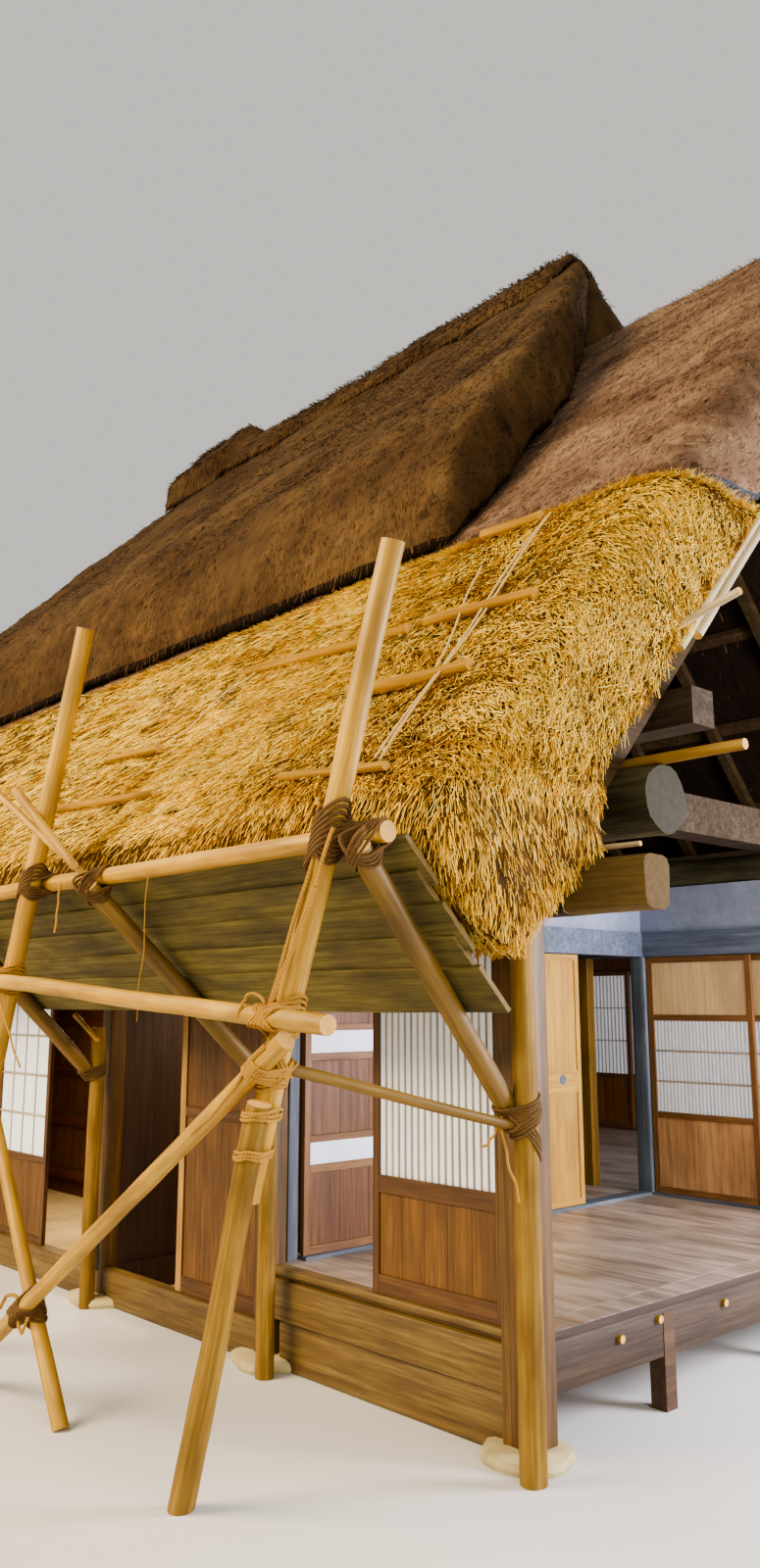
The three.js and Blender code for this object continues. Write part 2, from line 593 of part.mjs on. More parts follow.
function backThatch() {
  const ridge = MID_Y - GAP;
  const top = onSlope(ridge, BASE_THICK);
  const section = [...eaveSection(BASE_THICK), [ridge, onSlope(ridge, 0)], [ridge, top]];
  const low = -1300;
  const beyondHip = slab(
    [[RIDGE_END, MID_Y + 50], [RIDGE_END, ridge], [hipX(low), low], [-14000, low], [-14000, MID_Y + 50]],
    1000, 0, 0, 9000);
  const verge = vergeCut(BASE_THICK, VERGE_X, low, MID_Y);
  const base = carve([prismX(section, -13000, VERGE_X)], [beyondHip, verge]);
  const oldPlan = [
    OLD_EDGE[0], OLD_EDGE.at(-1), [RIDGE_END, MID_Y - GAP], [hipX(OLD_LOW_Y), OLD_LOW_Y]];
  const old = slab(oldPlan, UNDER_Z + BASE_THICK - 20, 0, PITCH, OLD_THICK + 20);
  return mirrored(join([base, old]));
}

function thatch() {
  piece('thatch_new', newThatch(), MATERIALS.newThatch);
  piece('thatch_worn', wornThatch(), MATERIALS.wornThatch);
  piece('thatch_old', oldFrontLayer(), MATERIALS.oldThatch);
  piece('thatch_back', backThatch(), MATERIALS.oldThatch);
  piece('thatch_left', hipThatch(), MATERIALS.oldThatch);
  piece('ridge_cap', ridgeCap(), MATERIALS.oldThatch);
}

function hipThatch() {
  const z0 = UNDER_RIDGE - HIP_PITCH * RIDGE_END;
  const eave = hipX(-EAVE_OUT);
  const plan = (x) => {
    const half = (RIDGE_END - x) / HIP_PLAN;
    return [[RIDGE_END - 2, MID_Y], [x, MID_Y + half - 2], [x, MID_Y - half + 2]];
  };
  const base = slab(plan(eave), z0, HIP_PITCH, 0, BASE_THICK);
  const old = slab(plan(hipX(OLD_LOW_Y)), z0 + BASE_THICK - 20, HIP_PITCH, 0, OLD_THICK + 20);
  return join([base, old]);
}

function ridgeCap() {
  const ridge = UNDER_RIDGE + BASE_THICK + OLD_THICK + GAP;
  const chevron = (reach, thick) => [
    [MID_Y - reach, ridge - PITCH * reach + GAP], [MID_Y, ridge + GAP],
    [MID_Y + reach, ridge - PITCH * reach + GAP],
    [MID_Y + reach, ridge - PITCH * reach + thick], [MID_Y + 120, ridge - 120 * PITCH + thick + 60],
    [MID_Y - 120, ridge - 120 * PITCH + thick + 60], [MID_Y - reach, ridge - PITCH * reach + thick]];
  return join([
    prismX(chevron(520, 130), RIDGE_END + 5, CAP_END),
    prismX(chevron(640, 360), RIDGE_END, END_CAP),
  ]);
}

// Scaffold
function bracket(x, poleY, poleTop, poleR, footShift, headShift) {
  const upright = pole([x, poleY, 0], [x, poleY, poleTop], poleR, poleR * 0.92);
  const foot = [x + footShift, ...onBrace(-60, 0)];
  const brace = pole([x + headShift, ...BRACE_HEAD], foot, POLE_R * 0.96, POLE_R);
  return join([upright, brace]);
}

// Distance at which the ledger and the boards rest on the braces
const BRACE_LENGTH = Math.hypot(BRACE_HEAD[0] - BRACE_FOOT[0], BRACE_HEAD[1] - BRACE_FOOT[1]);
const BRACE_Y = (BRACE_HEAD[0] - BRACE_FOOT[0]) / BRACE_LENGTH;
const BRACE_Z = (BRACE_HEAD[1] - BRACE_FOOT[1]) / BRACE_LENGTH;

function onBrace(along, above) {
  const y = BRACE_FOOT[0] + along * BRACE_Y + above * BRACE_Z;
  return [y, BRACE_FOOT[1] + along * BRACE_Z - above * BRACE_Y];
}

function platform() {
  const [startY, startZ] = onBrace(478, POLE_R - 0.7);
  const rise = [-0.636, 0.772];
  const inward = [rise[1], -rise[0]];
  const up = [rise[0] - LAP_TILT * inward[0], rise[1] - LAP_TILT * inward[1]];
  const parts = [];
  for (let i = 0; i < LAP_BOARDS; i += 1) {
    const foot = [startY + rise[0] * LAP_STEP * i, startZ + rise[1] * LAP_STEP * i];
    const head = [foot[0] + up[0] * LAP_WIDTH, foot[1] + up[1] * LAP_WIDTH];
    const section = [foot, ahead(foot, inward), ahead(head, inward), head];
    parts.push(prismX(section, -3900 - 30 * (i % 2), 460 - 40 * (i % 2)));
  }
  return join(parts);
}

const ahead = ([y, z], [dy, dz]) => [y + dy * LAP_THICK, z + dz * LAP_THICK];

const leanX = (foot, rate, z) => foot + rate * z;

// Leaning poles, cut level where they stand on the ground
const standing = (parts) => carve(parts, [box(-5000, 1000, -2000, 0, -200, 0)]);

function scaffold() {
  piece('scaffold_bracket_1', bracket(205, -170, 2436, 58, -68, 150), MATERIALS.scaffoldPole);
  piece('scaffold_bracket_2', bracket(-1640, -165, 2400, 50, 65, -80), MATERIALS.scaffoldPole);
  piece('scaffold_bracket_3', bracket(-3560, -165, 1780, 50, -30, -30), MATERIALS.scaffoldPole);
  const [ledgerY, ledgerZ] = onBrace(BRACE_LENGTH - 8, POLE_R + LEDGER_R - 1.7);
  const ledger = pole([-3950, ledgerY, ledgerZ], [440, ledgerY, ledgerZ], LEDGER_R);
  piece('scaffold_ledger', ledger, MATERIALS.scaffoldPole);
  piece('scaffold_boards', platform(), MATERIALS.plank);

  const mainAt = (z) => [leanX(-690, 0.343, z), OUTER_Y, z];
  const spliceAt = (z) => [leanX(-568, 0.295, z), OUTER_Y - 78, z];
  const upper = pole(mainAt(1180), mainAt(3680), 55, 48);
  const lower = pole(spliceAt(-30), spliceAt(1560), 55, 48);
  piece('scaffold_outer_pole_1', standing([upper, lower]), MATERIALS.scaffoldPole);
  const secondAt = (z) => [leanX(-3250, 0.354, z), OUTER_Y, z];
  const second = pole(secondAt(-20), secondAt(3930), 61.5, 46);
  piece('scaffold_outer_pole_2', standing([second]), MATERIALS.scaffoldPole);
  const railY = OUTER_Y - 46 - LASH_R;
  const rail = pole([-3700, railY, 2147], [323, railY, 1862], 45, 45);
  piece('scaffold_rail', rail, MATERIALS.scaffoldPole);
  const crossY = OUTER_Y - 41 - LASH_R;
  const diagonal = pole([-2732, crossY, -8], [66, crossY, 1804], 40, 40);
  const propAt = (z) => [leanX(-1665, -0.683, z), crossY + 68, z];
  const prop = pole(propAt(0), propAt(1360), 40, 33);
  piece('scaffold_cross', standing([diagonal, prop]), MATERIALS.scaffoldPole);
  const transom = pole([-100, -1235.6, 1685], [186, -226, 1420], 25, 22);
  piece('scaffold_transom', transom, MATERIALS.scaffoldPole);
}

posts();
floors();
frontWall();
farWalls();
partitions();
doors();
timbers();
roofFrames();
thatch();
scaffold();

export default house;
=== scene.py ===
"""Looks of the minka farmhouse: thatch, logs, lashings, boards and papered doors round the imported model."""

import math

import bpy
import bmesh
import numpy as np
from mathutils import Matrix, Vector, noise
from mathutils.bvhtree import BVHTree


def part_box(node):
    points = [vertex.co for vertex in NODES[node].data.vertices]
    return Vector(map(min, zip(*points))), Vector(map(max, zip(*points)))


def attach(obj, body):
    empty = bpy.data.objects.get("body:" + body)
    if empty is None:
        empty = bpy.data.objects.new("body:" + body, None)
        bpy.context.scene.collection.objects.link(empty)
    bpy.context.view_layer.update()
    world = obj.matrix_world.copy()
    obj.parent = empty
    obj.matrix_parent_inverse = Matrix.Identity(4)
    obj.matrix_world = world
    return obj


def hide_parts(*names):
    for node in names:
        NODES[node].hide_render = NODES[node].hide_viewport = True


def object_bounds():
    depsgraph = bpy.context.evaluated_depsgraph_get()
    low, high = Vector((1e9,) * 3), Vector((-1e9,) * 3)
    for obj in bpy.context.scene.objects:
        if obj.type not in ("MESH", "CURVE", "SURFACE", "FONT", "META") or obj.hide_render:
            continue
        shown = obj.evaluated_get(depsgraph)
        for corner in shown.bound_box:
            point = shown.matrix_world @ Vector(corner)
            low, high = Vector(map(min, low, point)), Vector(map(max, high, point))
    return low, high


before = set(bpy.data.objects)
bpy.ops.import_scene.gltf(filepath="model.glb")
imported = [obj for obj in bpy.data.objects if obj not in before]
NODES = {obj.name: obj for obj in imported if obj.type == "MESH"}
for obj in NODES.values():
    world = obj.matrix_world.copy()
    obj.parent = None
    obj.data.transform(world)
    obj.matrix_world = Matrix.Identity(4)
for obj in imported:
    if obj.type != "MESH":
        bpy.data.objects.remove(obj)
LOADED_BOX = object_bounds()
LOW, HIGH = (np.array(corner) for corner in LOADED_BOX)
HOUSE = "house"
RNG = np.random.default_rng(11)
INSET = 0.0005

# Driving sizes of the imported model, in metres
BAY = 1.82
DEPTH = 4 * BAY
MID_Y = 2 * BAY
LEFT_X = -6 * BAY
HALF_POST = 0.066
CUT_X = 0.09
FLOOR_UNDER = 0.47
FLOOR_TOP = 0.51
WALL_SKIN = 0.0201
# Front slope: rise per metre, height of the underside at Y = 0, upright thickness of the base layer
PITCH = 1.09
UNDER_Z = 2.919
BASE_THICK = 0.94


# Shader nodes
def linear(code):
    """A hex colour as linear red, green, blue and alpha."""
    parts = [int(code[i:i + 2], 16) / 255 for i in (0, 2, 4)]
    return [c / 12.92 if c <= 0.04045 else ((c + 0.055) / 1.055) ** 2.4 for c in parts] + [1.0]


class Shader:
    """A principled material whose nodes are added one by one."""

    def __init__(self, name, roughness, gloss=0.5):
        self.material = bpy.data.materials.new(name)
        self.material.use_nodes = True
        self.tree = self.material.node_tree
        self.surface = self.tree.nodes["Principled BSDF"]
        self.surface.inputs["Roughness"].default_value = roughness
        self.surface.inputs["Specular IOR Level"].default_value = gloss

    def feed(self, socket, value):
        """Links a node's output to a socket, or sets a constant on the socket itself."""
        if isinstance(value, bpy.types.NodeSocket):
            self.tree.links.new(value, socket)
        else:
            socket.default_value = value

    def node(self, kind, sockets=None, **settings):
        made = self.tree.nodes.new(kind)
        for key, value in settings.items():
            setattr(made, key, value)
        for key, value in (sockets or {}).items():
            self.feed(made.inputs[key], value)
        return made

    def place(self, scale, coords):
        """Object coordinates, or the grain that a piece carries on its points, stretched by scale."""
        if coords == "grain":
            source = self.node("ShaderNodeAttribute", attribute_name="grain").outputs["Vector"]
        else:
            source = self.node("ShaderNodeTexCoord").outputs["Object"]
        return self.node("ShaderNodeMapping", {"Vector": source, "Scale": scale}).outputs[0]

    def noise(self, scale, coords, detail=4.0, roughness=0.6, distortion=0.0):
        sockets = {"Vector": self.place(scale, coords), "Scale": 1.0, "Detail": detail,
                   "Roughness": roughness, "Distortion": distortion}
        return self.node("ShaderNodeTexNoise", sockets).outputs["Fac"]

    def ramp(self, factor, stops):
        made = self.node("ShaderNodeValToRGB", {"Fac": factor})
        elements = made.color_ramp.elements
        while len(elements) < len(stops):
            elements.new(0.5)
        for element, (position, code) in zip(elements, stops):
            element.position = position
            element.color = linear(code)
        return made.outputs["Color"]

    def mix(self, factor, first, second, blend="MIX"):
        made = self.node("ShaderNodeMix", data_type="RGBA", blend_type=blend)
        for key, value in (("Factor_Float", factor), ("A_Color", first), ("B_Color", second)):
            self.feed(next(s for s in made.inputs if s.identifier == key), value)
        return next(s for s in made.outputs if s.identifier == "Result_Color")

    def darken(self, color, shade, share):
        """A colour multiplied by a shade, by a share of its strength."""
        return self.mix(share, color, self.mix(1.0, color, shade, "MULTIPLY"))

    def math(self, operation, first, second=0.0):
        return self.node("ShaderNodeMath", {0: first, 1: second}, operation=operation).outputs[0]

    def blend(self, first, share, second, rest):
        """Two factors added up in their shares."""
        return self.math("ADD", self.math("MULTIPLY", first, share), self.math("MULTIPLY", second, rest))

    def finish(self, color, height=None, strength=0.3, distance=0.01, roughness=None):
        self.tree.links.new(color, self.surface.inputs["Base Color"])
        if roughness is not None:
            self.tree.links.new(roughness, self.surface.inputs["Roughness"])
        if height is not None:
            bump = self.node("ShaderNodeBump", {"Height": height, "Strength": strength, "Distance": distance})
            self.tree.links.new(bump.outputs[0], self.surface.inputs["Normal"])
        return self.material


GRAIN_SCALE = {"X": (1.1, 26, 26), "Y": (26, 1.1, 26), "Z": (26, 26, 1.1)}


def wood(name, dark, mid, light, along="grain", roughness=0.6, fine=1.0, bump=0.25, blotch=0.35, gloss=0.5):
    """Grain that runs along one axis of the object, or along each stick's own length."""
    shader = Shader(name, roughness, gloss)
    coords = "grain" if along == "grain" else "object"
    axis = "X" if along == "grain" else along
    scale = tuple(value * (fine if value > 1 else 1) for value in GRAIN_SCALE[axis])
    grain = shader.noise(scale, coords, 6.0, 0.65, 0.6)
    fibre = shader.noise(tuple(value * 3.1 for value in scale), coords, 3.0, 0.7)
    patches = shader.noise((1.6, 4.5, 4.5) if axis == "X" else (4.5, 4.5, 1.6), coords, 3.0)
    both = shader.blend(grain, 0.6, fibre, 0.4)
    color = shader.ramp(both, [(0.24, dark), (0.5, mid), (0.76, light)])
    shade = shader.ramp(patches, [(0.35, "8f8a84"), (0.6, "ffffff")])
    color = shader.darken(color, shade, blotch)
    worn = shader.node("ShaderNodeMapRange", {
        "Value": both, "From Min": 0.3, "From Max": 0.7,
        "To Min": roughness + 0.15, "To Max": roughness - 0.08})
    return shader.finish(color, both, bump, 0.004, worn.outputs[0])


def end_grain(name, dark, light, gloss=0.5):
    """Growth rings on a sawn end, round the stick's own middle line."""
    shader = Shader(name, 0.75, gloss)
    place = shader.place((0.0, 1.0, 1.0), "grain")
    rings = shader.node("ShaderNodeTexWave", {
        "Vector": place, "Scale": 38.0, "Distortion": 2.2, "Detail": 2.0, "Detail Scale": 1.5},
        wave_type="RINGS", rings_direction="X").outputs["Fac"]
    cracks = shader.noise((9, 30, 30), "grain", 4.0)
    both = shader.blend(rings, 0.5, cracks, 0.5)
    return shader.finish(shader.ramp(both, [(0.25, dark), (0.7, light)]), both, 0.2, 0.002)


def thatch_material(name, stops, patch_dark, patch_share, underside_shade=None):
    """Reed whose stems differ in colour, with broad darker patches and painted shade in small dips; faces
    that look down may get painted shade.
    """
    shader = Shader(name, 0.85, 0.15)
    tint = shader.node("ShaderNodeAttribute", attribute_name="tint").outputs["Fac"]
    streaks = shader.noise((34, 5, 5), "object", 5.0, 0.7)
    mixed = shader.blend(tint, 0.62, streaks, 0.38)
    color = shader.ramp(mixed, stops)
    patches = shader.noise((0.9, 1.3, 1.3), "object", 4.0, 0.6)
    shade = shader.ramp(patches, [(0.36, patch_dark), (0.62, "ffffff")])
    color = shader.darken(color, shade, patch_share)
    # Small dark blotches: painted shade in the dips between clumps of reed.
    hollow_shade = shader.ramp(shader.noise((4, 6, 6), "object", 4.0, 0.65), [(0.3, "4a3216"), (0.4, "ffffff")])
    color = shader.darken(color, hollow_shade, 0.5)
    # Faces that look down take the darker colours: painted shade under the thatch.
    if underside_shade:
        normal = shader.node("ShaderNodeNewGeometry").outputs["Normal"]
        height = shader.node("ShaderNodeSeparateXYZ", {"Vector": normal}).outputs[2]
        dark = shader.ramp(streaks, [(0.3, underside_shade[0]), (0.7, underside_shade[1])])
        color = shader.mix(shader.math("LESS_THAN", height, -0.35), color, dark)
    return shader.finish(color, streaks, 0.6, 0.02)


def paper(name, code, shade, glow):
    """Handmade paper, lit a little from behind: faint fibres and clouds."""
    shader = Shader(name, 0.9)
    clouds = shader.noise((3, 3, 3), "object", 5.0)
    fibres = shader.noise((90, 90, 14), "object", 3.0)
    both = shader.blend(clouds, 0.7, fibres, 0.3)
    shader.surface.inputs["Emission Strength"].default_value = glow
    shader.surface.inputs["Emission Color"].default_value = linear(code)
    return shader.finish(shader.ramp(both, [(0.3, shade), (0.65, code)]), fibres, 0.05, 0.001)


def mottled(name, stops, scale, roughness=0.9, bump=0.3, distance=0.01):
    """Plaster, earth or stone: two sizes of grain."""
    shader = Shader(name, roughness)
    coarse = shader.noise((scale,) * 3, "object", 6.0, 0.65)
    fine = shader.noise((scale * 14,) * 3, "object", 3.0, 0.7)
    both = shader.blend(coarse, 0.7, fine, 0.3)
    return shader.finish(shader.ramp(both, stops), both, bump, distance)


def rope_material(name, dark, light):
    """Twisted straw rope: bands of painted shade wind round the strand's length, for the grooves between its
    strands.
    """
    shader = Shader(name, 0.85)
    split = shader.node("ShaderNodeSeparateXYZ", {"Vector": shader.place((1, 1, 1), "grain")}).outputs[0]
    # Faint painted shade in the grooves of the twist.
    bands = shader.math("SINE", split)
    hairs = shader.noise((5, 30, 30), "grain", 4.0, 0.7)
    both = shader.math("ADD", shader.math("MULTIPLY", bands, 0.08), hairs)
    return shader.finish(shader.ramp(both, [(0.25, dark), (0.75, light)]), both, 0.6, 0.003)


POST = wood("post wood", "2e1e08", "5e4218", "8c6a30", roughness=0.5)
AGED = wood("aged grey wood", "34393f", "596168", "888e94", roughness=0.6)
AGED_BEAM = wood("grey lintel wood", "343a46", "5a6474", "8a94a6", along="X", roughness=0.55)
SILL = wood("sill wood", "35260f", "6f562a", "9f874c", roughness=0.5)
DOOR = wood("door boards", "40280a", "6c481a", "92682c", roughness=0.5, fine=1.2, blotch=0.5)
DOOR_FRAME = wood("door frame wood", "34200e", "5c3c1c", "86622e", roughness=0.55)
INNER_FRAME = wood("inner door frame", "4a3018", "80582e", "aa804c", roughness=0.55)
INNER_BOARD = wood("inner door board", "86603a", "c09262", "deb88a", roughness=0.5, fine=1.2, blotch=0.5)
PALE_FRAME = wood("pale stile wood", "8a6430", "b88a48", "d3ae6c", roughness=0.6)
TAN_BOARD = wood("tan board", "b08a5c", "d8b888", "ecd4ac", roughness=0.55, fine=1.2)
PULL_BOARD = wood("pull door board", "805a22", "ae8438", "cea650", roughness=0.55, fine=1.2)
RED_BOARD = wood("red brown board", "3c240a", "6c4218", "92662a", roughness=0.5, fine=1.2)
WALL = wood("wall boards", "2c1a0e", "55331b", "7a5230", roughness=0.7)
FLOOR = wood("worn floor boards", "6c5e52", "a89684", "d2c0aa", roughness=0.34, bump=0.1, blotch=0.7)
# The front plate's two colours: painted eave shadow inward, painted light on its outer end.
PLATE_IN_SHADE = wood("plate wood in painted shade", "1c1a1a", "3c3630", "645646", roughness=0.6, blotch=0.6, gloss=0.15)
PLATE_IN_LIGHT = wood("plate wood in painted light", "3e3420", "6a5834", "8a7648", roughness=0.6, gloss=0.15)
TIE_BEAM = wood("tie beam wood", "121010", "262019", "40362a", along="Y", roughness=0.6, gloss=0.1)
BEAM_END = end_grain("cut beam end", "40341f", "6a5738", 0.1)
DARK_LOG = wood("smoked log", "26251e", "4a4632", "6e6848", roughness=0.6, blotch=0.7, gloss=0.15)
ROOF_POLE = wood("roof pole", "2e2a26", "544c3e", "7c705a", roughness=0.7)
PALE_POLE = wood("pale verge pole", "8a7a60", "c0b090", "e4d8c0", roughness=0.5, fine=0.7)
GOLD_POLE = wood("foot pole", "5e4212", "967024", "c29a48", roughness=0.65, fine=0.7, gloss=0.2)
SCAFFOLD = wood("peeled scaffold log", "7c5612", "bc9032", "e4c266", roughness=0.45, fine=0.7, blotch=0.6)
DARK_POLE = wood("old scaffold log", "4a360e", "7e6020", "aa863e", roughness=0.5, fine=0.7, blotch=0.6)
UPRIGHT = wood("scaffold upright", "57411a", "8c6c2f", "b6984f", roughness=0.55, fine=0.7, blotch=0.6,
               gloss=0.2)
FLOOR_EDGE = wood("floor edge wood", "1c140e", "3c2c1c", "5c4832", roughness=0.6)
PLANK = wood("scaffold plank", "363016", "665a28", "8c8042", roughness=0.75, bump=0.3, blotch=0.7)
SAWN_END = end_grain("sawn end", "a87c34", "e0b868")
DARK_END = end_grain("old sawn end", "4a3a20", "8d7340")
LOG_END = end_grain("smoked log end", "2a2823", "4c483c", 0.1)
GREY_BARS = wood("bar wood", "8a7e6e", "b2a692", "cec4b2", roughness=0.6)
PAPER = paper("screen paper", "eef3fa", "dadfe8", 0.12)
BLUE_PAPER = paper("cool screen paper", "e4ecfa", "cdd8ee", 0.3)
PLASTER = mottled("white plaster", [(0.3, "6e7688"), (0.65, "9098aa")], 2.5, 0.9, 0.2, 0.004)
EARTH = mottled("beaten earth", [(0.3, "a0875a"), (0.55, "c6ad7c"), (0.75, "d8c294")], 1.8, 0.95, 0.4, 0.01)
STONE = mottled("base stone", [(0.25, "8f8460"), (0.55, "c0b184"), (0.8, "d9cda6")], 6.0, 0.85, 0.5, 0.01)
IRON = mottled("dark metal", [(0.3, "39424a"), (0.7, "6d7a84")], 30.0, 0.4, 0.2, 0.001)
SHADOW = mottled("mortise shade", [(0.3, "120d08"), (0.7, "2a1d10")], 20.0, 0.9, 0.3, 0.002)
ROPE = rope_material("straw rope", "7a5418", "cc9c44")
OLD_ROPE = rope_material("dark straw rope", "3c2810", "7c5a28")
CORD = rope_material("thin cord", "a88a50", "e6cf98")
REED_STOPS = [(0.08, "684614"), (0.24, "d6a238"), (0.42, "ffd85c"), (0.66, "fff094")]
NEW_THATCH = thatch_material("new reed", REED_STOPS, "a88450", 0.35)
EAVE_STOPS = [(0.1, "583e12"), (0.28, "c29236"), (0.47, "f8c656"), (0.7, "ffe88c")]
EAVE_THATCH = thatch_material("trimmed reed", EAVE_STOPS, "a88450", 0.35)
# The new bed's colours are darker than the stems': painted shade in the gaps between them.
BED_STOPS = [(0.1, "2c1c08"), (0.35, "664818"), (0.6, "9a742e"), (0.9, "c09446")]
NEW_BED = thatch_material("new reed bed", BED_STOPS, "a88450", 0.35)
WORN_STOPS = [(0.2, "4e3a2c"), (0.42, "8c7058"), (0.62, "b2967a"), (0.85, "d0bca2")]
WORN_THATCH = thatch_material("worn reed", WORN_STOPS, "7a5c48", 0.6)
# The worn bed's faces that look down get these bluish greys as painted shade.
WORN_SKIN = thatch_material("worn reed bed", WORN_STOPS, "7a5c48", 0.6, underside_shade=("282c36", "50545f"))
OLD_STOPS = [(0.15, "2a1e12"), (0.42, "5c462a"), (0.65, "7a5d3a"), (0.9, "9c7d52")]
OLD_THATCH = thatch_material("old reed", OLD_STOPS, "785430", 0.5)
# The old bed's faces that look down get these dark browns as painted shade.
OLD_SKIN = thatch_material("old reed bed", OLD_STOPS, "785430", 0.5, underside_shade=("140e08", "2e2216"))


# Building meshes
def in_scene(name, data):
    """A new object of the scene that shows data."""
    obj = bpy.data.objects.new(name, data)
    bpy.context.scene.collection.objects.link(obj)
    return obj


class Parts:
    """Collects the sticks and boards of one piece, with the grain's own coordinates on each point."""

    def __init__(self):
        self.points = []
        self.grain = []
        self.faces = []
        self.slots = []
        self.count = 0

    def add(self, points, faces, grain, slot=0):
        points = np.asarray(points, float)
        self.points.append(points)
        self.grain.append(np.asarray(grain, float))
        self.faces.extend([[i + self.count for i in face] for face in faces])
        self.slots.extend([slot] * len(faces) if isinstance(slot, int) else slot)
        self.count += len(points)

    def tube(self, points, grain, sides, slot=0, cap=1):
        """A skin round rings of points that follow each other, with a face on either end."""
        last = len(points) - sides
        faces = [(a + k, a + (k + 1) % sides, a + (k + 1) % sides + sides, a + k + sides)
                 for a in range(0, last, sides) for k in range(sides)]
        slots = [slot] * len(faces) + [cap, cap]
        self.add(points, faces + [list(range(sides))[::-1], list(range(last, last + sides))], grain, slots)

    def board(self, lows, highs, along="X", slot=0):
        """A sawn board between two corners, its grain along one axis."""
        (x0, y0, z0), (x1, y1, z1) = lows, highs
        points = np.array([[x, y, z] for x in (x0, x1) for y in (y0, y1) for z in (z0, z1)])
        faces = [(0, 1, 3, 2), (4, 6, 7, 5), (0, 4, 5, 1), (2, 3, 7, 6), (0, 2, 6, 4), (1, 5, 7, 3)]
        order = {"X": (0, 1, 2), "Y": (1, 0, 2), "Z": (2, 0, 1)}[along]
        grain = points[:, order] + RNG.uniform(-20, 20, 3)
        self.add(points, faces, grain, slot)

    def stick(self, start, end, r0, r1, seed, sides=14, step=0.09, crook=0.006, rough=0.04, slot=0, cap=1):
        """A peeled pole: slightly crooked, uneven and tapered, with sawn ends."""
        start, end = np.array(start, float), np.array(end, float)
        length = np.linalg.norm(end - start)
        along = (end - start) / length
        side, up = across(along)
        rings = max(4, int(length / step))
        angles = np.arange(sides) * 2 * math.pi / sides
        points, grain = [], []
        for i in range(rings + 1):
            t = i / rings
            s = t * length
            ease = math.sin(math.pi * t) ** 0.5 if 0 < t < 1 else 0.0
            bend = side * crook * ease * noise.noise((s * 0.9, seed, 0.0))
            bend = bend + up * crook * ease * noise.noise((s * 0.9, seed, 7.0))
            radius = (r0 + (r1 - r0) * t) * (1 + rough * 0.6 * noise.noise((s * 3.0, seed, 3.0)))
            for a in angles:
                c, d = math.cos(a), math.sin(a)
                r = radius * (1 + rough * noise.noise((s * 5.0, c * 1.6 + seed, d * 1.6)))
                points.append(start + along * s + bend + side * r * c + up * r * d)
                grain.append((s + seed * 3.7, r * c, r * d))
        self.tube(points, grain, sides, slot, cap)

    def rope(self, path, radius, slot=0):
        """A twisted rope or cord along a path, kept inside the model's box."""
        sides, twist = 6, 3.4
        room = radius + INSET
        path = np.clip(np.asarray(path, float), LOW + room, HIGH - room)
        steps = np.linalg.norm(np.diff(path, axis=0), axis=1)
        run = np.concatenate([[0], np.cumsum(steps)])
        tangents = np.gradient(path, axis=0)
        tangents /= np.linalg.norm(tangents, axis=1)[:, None]
        side, _ = across(tangents[0])
        points, grain = [], []
        for centre, tangent, s in zip(path, tangents, run):
            side = side - tangent * (side @ tangent)
            side /= np.linalg.norm(side)
            up = np.cross(tangent, side)
            for k in range(sides):
                a = 2 * math.pi * k / sides
                points.append(centre + radius * (math.cos(a) * side + math.sin(a) * up))
                grain.append((s * twist / radius + a, radius * math.cos(a) + s, radius * math.sin(a)))
        self.tube(points, grain, sides, slot, slot)
        return path

    def timber(self, lows, highs, along, seed, chamfer=0.012, wave=0.002, slot=0, cap=1):
        """A hewn beam: softened edges and faces that are not quite flat."""
        lows, highs = np.array(lows, float), np.array(highs, float)
        axis = "XYZ".index(along)
        u_axis, v_axis = [i for i in range(3) if i != axis]
        u0, u1, v0, v1 = lows[u_axis], highs[u_axis], lows[v_axis], highs[v_axis]
        c = min(chamfer, (u1 - u0) / 4, (v1 - v0) / 4)
        third = [(u0 + u1 * 2) / 3, (u0 * 2 + u1) / 3]
        outline = [(u0 + c, v0), (third[1], v0), (third[0], v0), (u1 - c, v0), (u1 - c * 0.3, v0 + c * 0.3),
                   (u1, v0 + c), (u1, v1 - c), (u1 - c * 0.3, v1 - c * 0.3), (u1 - c, v1), (third[0], v1),
                   (third[1], v1), (u0 + c, v1), (u0 + c * 0.3, v1 - c * 0.3), (u0, v1 - c), (u0, v0 + c),
                   (u0 + c * 0.3, v0 + c * 0.3)]
        if axis == 1:
            outline = outline[::-1]
        length = highs[axis] - lows[axis]
        rings = max(2, int(length / 0.14))
        points, grain = [], []
        for i in range(rings + 1):
            s = lows[axis] + length * i / rings
            for u, v in outline:
                inward = 0.5 * wave * (noise.noise((s * 2.5, u * 9 + seed, v * 9)) - 0.6)
                point = np.zeros(3)
                point[axis] = s
                point[u_axis] = u + (inward if u > (u0 + u1) / 2 else -inward)
                point[v_axis] = v + (inward if v > (v0 + v1) / 2 else -inward)
                points.append(point)
                grain.append((s + seed * 3.1, point[u_axis] + seed, point[v_axis]))
        self.tube(points, grain, len(outline), slot, cap)

